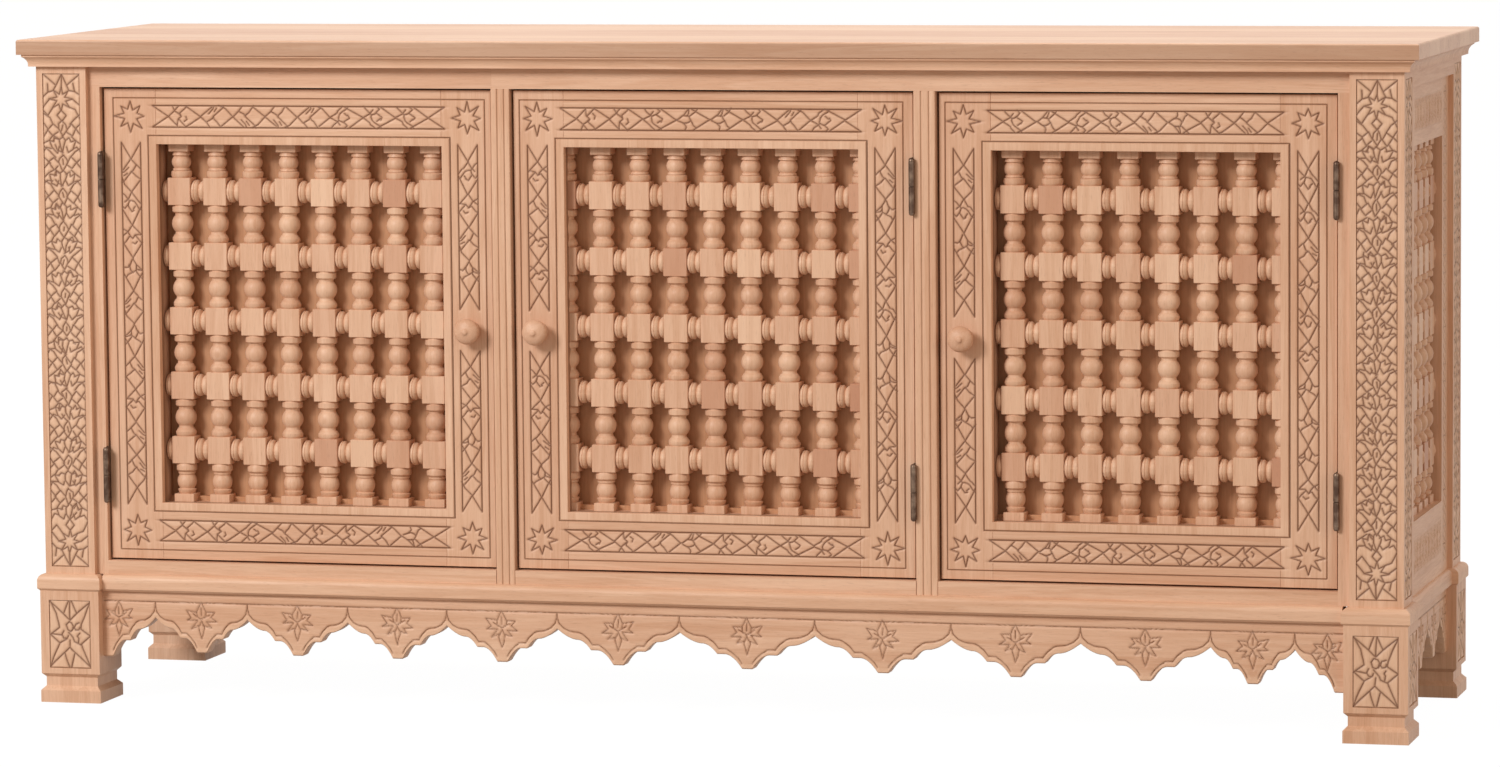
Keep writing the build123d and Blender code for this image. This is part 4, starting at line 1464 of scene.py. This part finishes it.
POST_STAR = (
    ((0, -33), (-8, -18), (-26, -33)), ((0, -33), (8, -18), (26, -33)), ((0, -33), (0, -13)),
    ((-8, -18), (-12, -11), (-19, -9), (-26, -2)), ((8, -18), (12, -11), (20, -10), (26, -6)),
    ((-19, -9), (-20, -20)), ((20, -10), (17, -21)), ((-16, 0), (-26, 12)), ((16, 0), (26, 8)),
    ((-11, 11), (-19, 22), (-27, 14)), ((11, 11), (19, 14), (26, 28)),
    ((0, 15), (-6, 22), (0, 30), (6, 22), (0, 15)),
)
LEG_STROKES = (
    ((-2, 45.5), (-8.5, 29)), ((1.5, 45.5), (9.5, 29)), ((0, 44), (0, 19)),
    ((-28.5, 44), (-9, 27.5), (0, 18.5), (9.5, 28), (28.5, 44)),
    ((-28.5, 44), (-19.5, 28), (-16, 15), (-15.5, 9), (-28.5, -1), (-15.5, -12.5), (-28.5, -44.5)),
    ((28.5, 44), (21, 25), (15.5, 13.5), (15, 7), (28.5, -2.5), (16, -14), (28.5, -44.5)),
    ((-15.5, -12.5), (-5, -6), (-3, -2)), ((16, -14), (7, -10), (4.5, -5)),
    ((-28.5, -44.5), (0, -18.5), (28.5, -44.5)), ((-6.5, -26), (-1.5, -45)), ((7, -27), (1.5, -45)),
    ((-6, 12.5), (-2, 16.5), (2, 15.5), (4.5, 11.5), (3, 6), (0, 3.5), (-4, 6), (-6, 12.5)),
    ((13, 15.5), (8, 13.5), (5.5, 9), (3, 5)), ((5.5, 9), (8, 5.5), (12.5, 6), (13.5, 10)),
    ((-27, 0), (-13, -1.5), (-9.5, 4)), ((-12, -1.5), (-10, -6), (-5, -6)),
    ((13.5, 1.5), (11, -2.5), (13, -5), (12.5, -11)), ((0, -8), (0, -16.5)), ((-3, 2), (3, -4)),
)


@dataclass
class Relief:
    """Knotwork that fills the sunk panels of the posts, or the star that fills those of the legs."""

    width: float
    height: float
    step: float
    strokes: list[Array]
    sunk: float = 2.0
    cut_half: float = 1.85
    warp: float = 1.0
    floor: float = 1.88
    crest: float = 0.05
    pillow: float = 5.0
    border: tuple[float, float] = (1.5, 1.85)

    @staticmethod
    def knotwork(width: float, height: float, step: float, seed: int) -> "Relief":
        """Draw the knotwork: repeats that are turned over at random, between two stars.

        Args:
            width: the panel's width.
            height: the panel's height.
            step: the spacing of the grid that is carved.
            seed: picks how the repeats are turned and how far the knife wanders.

        Returns:
            The relief.
        """
        random = np.random.default_rng(seed)
        strokes: list[Array] = []
        for level, up in ((height - 34.0, -1), (34.0, 1)):
            strokes.append(star_chain((0, level), 16.0, 7.0, 0.1, random))
            strokes += [np.array(chain, float) * (1, up) + (0, level) for chain in POST_STAR]
        run = height - 2 * POST_STAR_ROOM
        count = round(run / POST_REPEAT)
        pitch = run / count
        for number in range(count):
            top = height - POST_STAR_ROOM - number * pitch
            side = random.choice((-1, 1))
            parts = [(chain, side) for chain in POST_MIDDLE]
            parts += [(chain, flip) for chain in POST_SIDE for flip in (-1, 1)]
            for chain, flip in parts:
                points = np.array(chain, float) * (flip, -pitch / POST_REPEAT) + (0, top)
                strokes.append(points + random.normal(0, 0.8, points.shape))
        return Relief(width, height, step, strokes)

    @staticmethod
    def star(width: float, height: float, step: float, seed: int) -> "Relief":
        """Draw the kites and the curled flower of a leg's panel.

        Args:
            width: the panel's width.
            height: the panel's height.
            step: the spacing of the grid that is carved.
            seed: picks which way the flower turns and how far the knife wanders.

        Returns:
            The relief.
        """
        random = np.random.default_rng(seed)
        side = random.choice((-1, 1))
        chains = [np.array(chain, float) * (side, 1) + (0, height / 2) for chain in LEG_STROKES]
        return Relief(width, height, step, [chain + random.normal(0, 0.3, chain.shape) for chain in chains])

    def depth(self, u: Array, v: Array) -> Array:
        """Work out the depth over the panel, with lines that waver as hand cutting does.

        Args:
            u: places across the panel.
            v: places up the panel.

        Returns:
            The depth at each place.
        """
        wave_u = self.warp * np.sin(v * 0.083 + 0.9 * np.sin(u * 0.11)) * np.sin(v * 0.031 + 1.0)
        distance = stroke_distance(u - self.width / 2, v, self.strokes, wave_u)
        relief = chip_depth(distance, self.floor, self.crest, self.cut_half, self.pillow)
        edge = np.minimum(np.minimum(u, self.width - u), np.minimum(v, self.height - v))
        return np.maximum(relief, groove(edge - 0.3, *self.border))

    def add(self, shell: Shell, face: Face) -> None:
        """Fill one sunk panel.

        Args:
            shell: what the carving is added to.
            face: the panel, from its lower left corner.
        """
        u, v = even_lines(0, self.width, self.step), even_lines(0, self.height, self.step)
        across, up = np.meshgrid(u, v)
        add_board(shell, face, u, v, self.depth(across, up), self.sunk - 0.04, 1.4)


@dataclass
class Posts:
    """The carved panels of the four posts and their legs."""

    half_width: float = 918.0
    half_depth: float = 240.0
    post: float = 70.0
    leg: float = 83.0
    collar_top: float = 173.5
    post_top: float = 854.0
    post_panel: tuple[float, float] = (53.0, 661.5)
    leg_panel: tuple[float, float] = (59.0, 92.0)
    leg_low: float = 46.5
    front_step: float = 1.0
    back_step: float = 1.5

    def _faces(self, width: float, size: float, low: float) -> list[tuple[str, Face]]:
        """Find the carved faces of posts of one size: the fronts of the front pair, all outer sides.

        Args:
            width: the width of the panels.
            size: the side of the square post.
            low: how high the panels start.

        Returns:
            The name of each face's post, and the panel.
        """
        found = []
        reach = (size - self.post) / 2
        margin = (size - width) / 2
        for outward in (-1, 1):
            outer_x = outward * (self.half_width + reach)
            left_x = outer_x - size if outward > 0 else outer_x
            side = "right" if outward > 0 else "left"
            front_y = -self.half_depth - reach
            found.append((f"front_{side}", front_face(left_x + margin, front_y, low)))
            for depth_name, y0 in (("front", front_y), ("back", self.half_depth + reach - size)):
                start = y0 + margin if outward > 0 else y0 + size - margin
                found.append((f"{depth_name}_{side}", side_face(outward, outer_x, start, low)))
        return found

    def build(self, timber: Timber) -> None:
        """Carve the panels of every post and leg.

        Args:
            timber: the store of finishes.
        """
        width, height = self.post_panel
        margin = (self.post_top - self.collar_top - height) / 2
        shells: dict[str, Shell] = {}
        for seed, (name, face) in enumerate(self._faces(width, self.post, self.collar_top + margin)):
            step = self.front_step if "front" in name else self.back_step
            shell = shells.setdefault(f"{name}_post_carving", Shell())
            Relief.knotwork(width, height, step, seed).add(shell, face)
        width, height = self.leg_panel
        for seed, (_, face) in enumerate(self._faces(width, self.leg, self.leg_low)):
            shell = shells.setdefault("leg_carvings", Shell())
            Relief.star(width, height, self.front_step, seed).add(shell, face)
        for name, shell in shells.items():
            shell.build(name, timber.wood(Grain.ALONG_Z, tone=-0.3, seed=1.5), sharp=40)


# ---------------------------------------------------------------- aprons


# The incised line of half a pendant, as (share of the way from the cusp to the tip, height), and the
# flower on the middle of a pendant, as (across, up).
APRON_LINES = (
    ((0, -13.7), (0.005, -19.7), (0.037, -27.7), (0.125, -34.3), (0.235, -38), (0.4, -39.4),
     (0.455, -41.2), (0.56, -47.7), (0.635, -55.5)),
    ((0.63, -55), (0.76, -55.6), (0.85, -60.5), (0.945, -67.5), (1.0, -74)),
)
FLOWER = (
    ((0, 0), (-6, 4), (-7, 10.7), (-3.5, 18), (0, 24.5), (3.5, 18), (7, 10.7), (6, 4), (0, 0)),
    ((0, 16), (0, 5)), ((0, -2), (-4.8, -10.7), (-2.6, -19), (0, -27), (2.6, -19), (4.8, -10.7), (0, -2)),
    ((-7, 10.7), (-22, 13.3), (-15.3, 2.7), (-21, -1), (-6, -1)),
    ((7, 10.7), (19.4, 10.7), (14, 3.5), (22.5, -2.7), (8, -3)), ((-6, -1), (-14.6, -12.7), (-3.5, -8)),
    ((8, -3), (14.5, -11.5), (3.5, -8)), ((-6, 4), (-12, 8)), ((6, 4), (12, 7)),
)


@dataclass
class Apron:
    """A scalloped board: pendants with stepped outlines, an incised line inside them, and flowers."""

    name: str
    node: str
    length: float
    lobes: tuple[float, ...]
    grain: Grain
    cusp_drop: float = 35.0
    tip_drop: float = 46.0
    end_drop: float = 54.0
    tip_half: float = 7.0
    thickness: float = 22.0
    step: float = 1.2
    rows: int = 50
    edge_reach: int = 26
    # painted highlight: the width of the paler strip along the outline
    edge_highlight_band: float = 7.0
    cut_half: float = 1.5
    cut_depth: float = 1.9
    pillow: float = 3.2
    arris: float = 1.6
    top_line: float = -13.7
    flower_level: float = -36.5
    wander: float = 0.4

    def _edges(self) -> Array:
        """Return where the cusps lie, with the two ends of the board."""
        scale = self.length / sum(self.lobes)
        return np.concatenate(([0.0], np.cumsum(self.lobes) * scale)) - self.length / 2

    def _drop(self, x: Array) -> Array:
        """Return how far the board reaches down at places along it.

        With f the share of the way from a cusp to the middle of its pendant, the edge falls in a round
        shoulder, a cove, a flat step and a second cove to a flat tip.  The pendants at both ends are
        halves whose middle is the end of the board.

        Args:
            x: places along the board, from its middle.

        Returns:
            The drop at each place.
        """
        edges = self._edges()
        cusps = edges[1:-1]
        number = np.searchsorted(cusps, x)
        last = len(cusps)
        low = np.where(number == 0, edges[0], cusps[np.clip(number - 1, 0, last - 1)])
        high = np.where(number == last, edges[-1], cusps[np.clip(number, 0, last - 1)])
        end_piece = (number == 0) | (number == last)
        middle = np.where(number == 0, edges[0], np.where(number == last, edges[-1], (low + high) / 2))
        tip_half = np.where(end_piece, 2 * self.tip_half, self.tip_half)
        reach = np.where(end_piece, high - low, (high - low) / 2) - tip_half
        f = np.clip(1 - (np.abs(x - middle) - tip_half) / reach, 0, 1)
        drop = np.where(end_piece, self.end_drop, self.tip_drop)
        shoulder = 0.30 * (1 - (1 - np.clip(f / 0.36, 0, 1)) ** 1.7)
        first_cove = 0.29 * np.clip((f - 0.36) / 0.24, 0, 1) ** 2.0
        second_cove = 0.41 * np.clip((f - 0.72) / 0.28, 0, 1) ** 1.9
        return self.cusp_drop + drop * (shoulder + first_cove + second_cove)

    def _strokes(self) -> list[Array]:
        """Draw the top line, the stepped line inside every pendant and the flowers.

        Returns:
            The strokes, in places on the board.
        """
        edges = self._edges()
        half = self.length / 2
        random = np.random.default_rng(len(edges))
        strokes = [np.array(((-half + 2.5, self.top_line), (half - 2.5, self.top_line)))]
        for number, cusp in enumerate(edges[1:-1], start=1):
            for side in (-1, 1):
                far = edges[number + side]
                at_end = abs(far) > half - 1
                reach = abs(far - cusp) - 2 * self.tip_half if at_end else abs(far - cusp) / 2 - self.tip_half
                deeper = self.end_drop / self.tip_drop if at_end else 1.0
                for chain in APRON_LINES:
                    share, level = np.array(chain, float).T
                    level = np.where(level < -35, -35 + (level + 35) * deeper, level)
                    strokes.append(np.stack((cusp + side * share * reach, level), axis=1))
        middles = [(low + high) / 2 for low, high in zip(edges[1:-2], edges[2:-1])]
        for middle in (*middles, -half + 23, half - 23):
            size = 0.9 if abs(middle) > half - 30 else min(1.0, 0.35 + np.diff(edges)[1:-1].min() / 180)
            turn = random.choice((-1, 1))
            for chain in FLOWER:
                points = np.array(chain, float) + random.normal(0, self.wander, (len(chain), 2))
                strokes.append(points * (turn * size, size) + (middle, self.flower_level))
        return strokes

    def build(self, timber: Timber, faces: list[Face]) -> None:
        """Cut and carve the board once for each face it hangs under.

        The front is a grid whose columns run from the top to the outline, so that its lowest row is the
        outline itself; the back and the two edges repeat its border.

        Args:
            timber: the store of finishes.
            faces: where the board hangs.
        """
        shell = Shell()
        edges = self._edges()
        even = even_lines(-self.length / 2, self.length / 2, self.step)
        x = np.unique(np.round(np.concatenate((even, edges)), 3))
        drop = self._drop(x)
        outline = np.stack((x, -drop), axis=1)
        share = np.linspace(0, 1, self.rows + 1) ** 0.96
        u = np.broadcast_to(x, (len(share), len(x)))
        v = -share[:, None] * drop[None, :]
        distance = np.full(u.shape, FAR)
        for shift in range(-self.edge_reach, self.edge_reach + 1):
            moved = np.clip(np.arange(len(x)) + shift, 0, len(x) - 1)
            gap = np.hypot(u - outline[moved, 0], v - outline[moved, 1])
            distance = np.minimum(distance, gap)
        carved = stroke_distance(u, v, self._strokes())
        depth = chip_depth(carved, self.cut_depth, 0.0, self.cut_half, self.pillow)
        # painted highlight: a paler strip along the cut outline
        pale = -0.3 * (distance < self.edge_highlight_band)
        depth = np.maximum(depth, round_over(distance, self.arris))
        # painted shade in the carved cuts, none on the rounded outline
        cut = np.clip(depth / self.cut_depth, 0, 1) * (distance > self.cut_half)
        for face in faces:
            front = shell.add_points(face.place(u, v, depth), pale, cut)
            back = shell.add_points(face.place(u[[0, -1]], v[[0, -1]], self.thickness))
            shell.add_grid(front)
            shell.add_grid(back)
            shell.add_grid(np.stack((front[0], back[0])))
            shell.add_grid(np.stack((front[-1], back[-1])))
            for column in (0, -1):
                shell.add_faces(np.concatenate((front[:, column], back[::-1, column]))[None])
        piece = shell.build(self.name, timber.wood(self.grain, tone=0.05, seed=4.0))
        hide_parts(self.node)


# ---------------------------------------------------------------- mullions and side panels


@dataclass
class Mullions:
    """The upright reeded strips between the doors."""

    reeds: tuple[float, ...] = (0.0, 0.34, 0.7, 1.0)
    swell: float = 1.7
    thickness: float = 26.0

    def build(self, timber: Timber) -> None:
        """Run the reeded section from the base moulding to the top rail.

        Each of the three reeds is a flat ellipse: at a share s across it from -1 to 1 the face falls
        back by the reed's swell times 1 less the root of 1 - s to the fourth.

        Args:
            timber: the store of finishes.
        """
        share = np.linspace(-1, 1, 9)
        fall = self.swell * (1 - np.sqrt(np.clip(1 - (share * 0.995) ** 4, 0, 1)))
        for side in ("left", "right"):
            low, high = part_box(f"{side}_mullion")
            x0, y0, width = low.x / MM, low.y / MM, (high.x - low.x) / MM
            rows = []
            for start, end in zip(self.reeds[:-1], self.reeds[1:]):
                middle, half = (start + end) / 2 * width, (end - start) / 2 * width - 0.1
                rows.append(np.stack((x0 + middle + half * share, y0 + fall), axis=1))
            back = y0 + self.thickness
            section = np.concatenate((*rows, [(x0 + width, back), (x0, back)]))
            sunk = np.concatenate((section[:-2, 1] - y0, (0, 0)))
            ends = (low.z / MM, high.z / MM)
            stops = np.stack([np.column_stack((section, np.full(len(section), end))) for end in ends])
            shell = Shell()
            # painted shade in the valleys between the reeds
            shell.add_run(stops, np.clip(sunk / self.swell, 0, 1) ** 3)
            finish = timber.wood(Grain.ALONG_Z, tone=-0.1, seed=2.2)
            piece = shell.build(f"{side}_reeded_mullion", finish, sharp=28)
            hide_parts(f"{side}_mullion")


@dataclass
class SidePanel:
    """The framed lattice of one side: carved stiles and rails and the turned lattice between them."""

    outward: int
    outer: float = 911.0
    thickness: float = 30.0
    half: float = 170.0
    sight_half: float = 118.0
    bottom: float = 173.5
    top: float = 831.0
    sight_bottom: float = 269.5
    sight_top: float = 753.0
    first_row: float = 337.0
    row_pitch: float = 86.6
    row_count: int = 5
    column_count: int = 5
    lattice_setback: float = 22.0
    step: float = 1.8
    zigzag: float = 24.0
    stile_band: tuple[float, float, float] = (26.0, 12.5, 14.0)
    rail_halves: tuple[float, float] = (22.0, 20.0)
    rail_margin: float = 56.0

    def _depth(self, u: Array, v: Array) -> Array:
        """Return the carving of the frame: a zigzag band on every member between two grooves.

        The zigzag is a triangle wave: with p the share of its period, the line is where the distance
        from the band's middle is the half width times 1 - 4 |p|.

        Args:
            u: places across the panel.
            v: places up the panel.

        Returns:
            The depth at each place.
        """
        width, height = 2 * self.half, self.top - self.bottom
        total = np.zeros(u.shape)
        low, high = self.sight_bottom - self.bottom, self.sight_top - self.bottom
        middle, half, margin = self.stile_band
        rail_run = (self.rail_margin, width - self.rail_margin)
        members = (
            (v, np.minimum(u, width - u) - middle, half, (margin, height - margin)),
            (u, v - (low / 2 + 2), self.rail_halves[0], rail_run),
            (u, v - (height + high) / 2, self.rail_halves[1], rail_run),
        )
        for along, across, half, run in members:
            p = (along / self.zigzag) % 1 - 0.5
            lean = math.cos(math.atan(4 * half / self.zigzag))
            wave = half * (1 - 4 * np.abs(p))
            line = np.minimum(np.abs(across - wave), np.abs(across + wave))
            rungs = groove(p * self.zigzag, 1.1, 1.4) * (np.abs(across) < half * 0.7)
            cut = np.maximum(groove(line * lean, 1.2, 1.5), rungs)
            band = (np.abs(across) < half) & (along > run[0]) & (along < run[1])
            edge = groove(np.abs(across) - half - 1.5, 0.9, 1.3)
            edge = edge * (along > run[0] - 2) * (along < run[1] + 2)
            total = np.maximum(total, np.maximum(np.where(band, cut, 0), edge))
        return total

    def build(self, timber: Timber, turning: LatticeTurning) -> None:
        """Carve the frame and turn the lattice of this side.

        Args:
            timber: the store of finishes.
            turning: what turns the lattices.
        """
        side = "right" if self.outward > 0 else "left"
        start_y = -self.half if self.outward > 0 else self.half
        face = side_face(self.outward, self.outward * self.outer, start_y, self.bottom)
        width, height = 2 * self.half, self.top - self.bottom
        stile = self.half - self.sight_half
        low, high = self.sight_bottom - self.bottom, self.sight_top - self.bottom
        for part, grain, members in (
            ("stiles", Grain.ALONG_Z, ((0, stile, 0, height), (width - stile, width, 0, height))),
            ("rails", Grain.ALONG_Y, ((stile, width - stile, 0, low), (stile, width - stile, high, height))),
        ):
            shell = Shell()
            for u0, u1, v0, v1 in members:
                u, v = even_lines(u0, u1, self.step), even_lines(v0, v1, self.step)
                across, up = np.meshgrid(u, v)
                add_board(shell, face, u, v, self._depth(across, up), self.thickness, 1.5)
            shell.build(f"{side}_side_carved_{part}", timber.wood(grain, seed=5.0))
        pitch = 2 * self.sight_half / self.column_count
        columns = -self.sight_half + pitch * (np.arange(self.column_count) + 0.5)
        rows = self.first_row + self.row_pitch * np.arange(self.row_count)
        middle = self.outward * (self.outer - self.lattice_setback)
        reach = (-self.sight_half, self.sight_half, self.sight_bottom, self.sight_top)
        opening = Opening(*reach, columns, rows, middle, Grain.ALONG_Y)
        shell = turning.uprights(opening, np.random.default_rng(20 + self.outward))
        piece = shell.build(f"{side}_side_turned_uprights", timber.wood(Grain.ALONG_Z, seed=6.0))
        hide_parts(f"{side}_side_lattice_spindles")
        shell = turning.spools(opening)
        piece = shell.build(f"{side}_side_turned_spools", timber.wood(Grain.ALONG_Y, seed=6.3))
        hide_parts(f"{side}_side_lattice_spools")


# ---------------------------------------------------------------- carcass and studio


@dataclass
class Carcass:
    """The plain members that keep the model's own shape and only get their finish."""

    frame: dict[str, Any]

    def dress(self, timber: Timber) -> None:
        """Give every member of the model its wood, with the grain along its length.

        Args:
            timber: the store of finishes.
        """
        x, y, z = Grain.ALONG_X, Grain.ALONG_Y, Grain.ALONG_Z
        bare, inner, backing = Slot.BARE_WOOD, Slot.INNER_WOOD, Slot.BACKING_WOOD
        plan: dict[str, tuple[Any, ...]] = {
            "cornice_frame": (x, bare, 0.0, 0.5),
            "post": (z, bare, 0.0, 1.5),
            "post_collars": (x, bare, -0.1, 0.8),
            "legs": (z, bare, 0.0, 1.1),
            "front_top_rail_left": (x, bare, 0.1, 1.3),
            "front_top_rail_right": (x, bare, -0.05, 1.9),
            "front_stiles": (z, bare, 0.0, 2.2),
            "front_bottom_rails": (x, bare, 0.0, 2.5),
            "front_base_moulding": (x, bare, -0.1, 2.8),
            "side_base_mouldings": (y, bare, 0.0, 2.8),
            "side_top_rails": (y, bare, 0.0, 3.1),
            "side_stiles": (z, bare, 0.0, 5.0),
            "side_rails": (y, bare, 0.0, 5.0),
            "back_rails": (x, bare, 0.0, 3.4),
            "back_panel": (z, backing, 0.0, 1.0),
            "side_backings": (z, backing, 0.0, 2.0),
            "door_backing": (z, backing, 0.0, 4.0),
            "cabinet_floor": (x, inner, 0.0, 1.0),
            "partitions": (z, inner, 0.0, 1.0),
            "shelves": (x, inner, 0.0, 2.0),
            "shelf_battens": (y, inner, 0.0, 2.0),
            "door_stops": (z, inner, 0.0, 3.0),
        }
        special = {"top_board": timber.top_boards(), "hinge_pins": timber.metal()}
        for name, obj in self.frame["nodes"].items():
            kind = next((end for end in ("post", "door_backing") if name.endswith(f"_{end}")), name)
            finish = special[name] if name in special else timber.wood(*plan.get(kind, (z,)))
            obj.data.materials.clear()
            obj.data.materials.append(finish)
            LOG.info("%s: keeps its shape", name)


@dataclass
class Studio:
    """The floor, the soft lamps, the pale room and the camera."""

    lens_pixels: float = 6264.4
    width_pixels: float = 1500.0
    place: tuple[float, float, float] = (2.1587, -8.0555, 1.2498)
    yaw: float = 0.262
    pitch: float = 0.099
    roll: float = -0.009
    sensor: float = 36.0
    room_tint: Colour = (1.0, 0.84, 0.69)
    room_light: float = 0.44
    floor_glow: float = 0.88

    def _room(self) -> None:
        """Set a plain pale surround: white where the camera looks, softer where it lights."""
        world = bpy.data.worlds.new("pale_room")
        bpy.context.scene.world = world
        sheet = Worksheet(world)
        seen = sheet.open_rays()
        light = {0: seen, 2: self.room_light, 3: 1.0}
        inputs = {
            "Color": sheet.blend(seen, self.room_tint, (1.0, 1.0, 1.0)),
            "Strength": sheet.value("ShaderNodeMix", {"data_type": "FLOAT"}, light),
        }
        sheet.finish(sheet.node("ShaderNodeBackground", {}, inputs), "ShaderNodeOutputWorld")

    def _floor(self) -> None:
        """Lay a pale floor that looks white and keeps a light shadow."""
        mesh = bpy.data.meshes.new("studio_floor")
        reach = 60.0
        corners = np.array(((-reach, -reach, 0), (reach, -reach, 0), (reach, reach, 0), (-reach, reach, 0)))
        mesh.from_pydata((corners - (0, 0, 0.0006)).tolist(), [], [(0, 1, 2, 3)])
        floor = bpy.data.objects.new("studio_floor", mesh)
        bpy.context.scene.collection.objects.link(floor)
        sheet = Worksheet(bpy.data.materials.new("pale_floor"))
        diffuse = sheet.node("ShaderNodeBsdfDiffuse", {}, {"Color": (0.4, 0.36, 0.32)})
        glow = sheet.node("ShaderNodeEmission", {}, {"Color": (1.0, 1.0, 1.0), "Strength": 1.12})
        inputs = {0: sheet.open_rays() * self.floor_glow, 1: diffuse.outputs[0], 2: glow.outputs[0]}
        mesh.materials.append(sheet.finish(sheet.node("ShaderNodeMixShader", {}, inputs)))

    def _lamp(
        self,
        name: str,
        place: Sequence[float],
        aim: Sequence[float],
        size: float,
        power: float,
        colour: Colour = (1.0, 1.0, 1.0),
    ) -> None:
        """Hang one square soft lamp.

        Args:
            name: the lamp's name.
            place: where it hangs, in metres.
            aim: what it looks at.
            size: the side of its square.
            power: its power in watts.
            colour: the colour of its light.
        """
        data = bpy.data.lights.new(name, "AREA")
        data.shape = "SQUARE"
        data.size = size
        data.energy = power
        data.color = colour
        lamp = bpy.data.objects.new(name, data)
        bpy.context.scene.collection.objects.link(lamp)
        direction = Vector(aim) - Vector(place)
        turn = direction.to_track_quat("-Z", "Y").to_matrix().to_4x4()
        lamp.matrix_world = Matrix.Translation(place) @ turn

    def _camera(self) -> None:
        """Stand the camera where the yaw, the pitch and the roll put it."""
        data = bpy.data.cameras.new("camera")
        data.sensor_fit = "HORIZONTAL"
        data.sensor_width = self.sensor
        data.lens = self.lens_pixels / self.width_pixels * self.sensor
        data.clip_end = 200.0
        cos_p, sin_p = math.cos(self.pitch), math.sin(self.pitch)
        forward = Vector((-math.sin(self.yaw) * cos_p, math.cos(self.yaw) * cos_p, -sin_p))
        level = Vector((math.cos(self.yaw), math.sin(self.yaw), 0))
        upright = level.cross(forward)
        right = math.cos(self.roll) * level + math.sin(self.roll) * upright
        top = right.cross(forward)
        turn = Matrix((right, top, -forward)).transposed().to_4x4()
        camera = bpy.data.objects.new("camera", data)
        camera.matrix_world = Matrix.Translation(self.place) @ turn
        bpy.context.scene.collection.objects.link(camera)
        bpy.context.scene.camera = camera

    def build(self) -> None:
        """Set the whole studio."""
        bpy.context.scene.view_settings.view_transform = "Standard"
        self._room()
        self._floor()
        self._lamp("key_lamp", (-3.4, -6.0, 4.1), (0, 0, 0.45), 2.2, 375.0)
        self._lamp("top_lamp", (0.3, 0.9, 4.6), (0, 0.2, 0.45), 2.4, 62.0)
        self._lamp("fill_lamp", (5.6, -2.4, 2.2), (0.6, 0, 0.45), 2.6, 48.0, (1.0, 0.86, 0.7))
        self._camera()


def main() -> None:
    """Build the sideboard piece by piece."""
    logging.basicConfig(level=logging.INFO, format="%(message)s")
    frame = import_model()
    timber = Timber()
    turning = LatticeTurning()
    Carcass(frame).dress(timber)
    doors = [
        Door("left", 24.4, 50.257, 8, knob_on_left=False, seed=1),
        Door("middle", -5.7, 50.0625, 9, knob_on_left=True, seed=2),
        Door("right", 23.8, 50.543, 8, knob_on_left=True, seed=3),
    ]
    for door in doors:
        door.build(timber, turning)
    Hinges(doors).build(timber)
    Posts().build(timber)
    Apron(
        "front_scalloped_apron",
        "front_apron",
        1683.0,
        (75, 130, 141, 138, 152, 167, 183, 182, 171, 170, 109, 65),
        Grain.ALONG_X,
    ).build(timber, [front_face(0.0, -231.0, 151.0)])
    Apron("side_scalloped_aprons", "side_aprons", 327.0, (55, 108, 108, 55), Grain.ALONG_Y).build(
        timber, [side_face(side, side * 911.0, 0.0, 151.0) for side in (-1, 1)]
    )
    Mullions().build(timber)
    sides = [SidePanel(outward) for outward in (-1, 1)]
    for side in sides:
        side.build(timber, turning)
    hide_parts("side_stiles")
    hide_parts("side_rails")
    Studio().build()


if __name__ == "__main__":
    main()
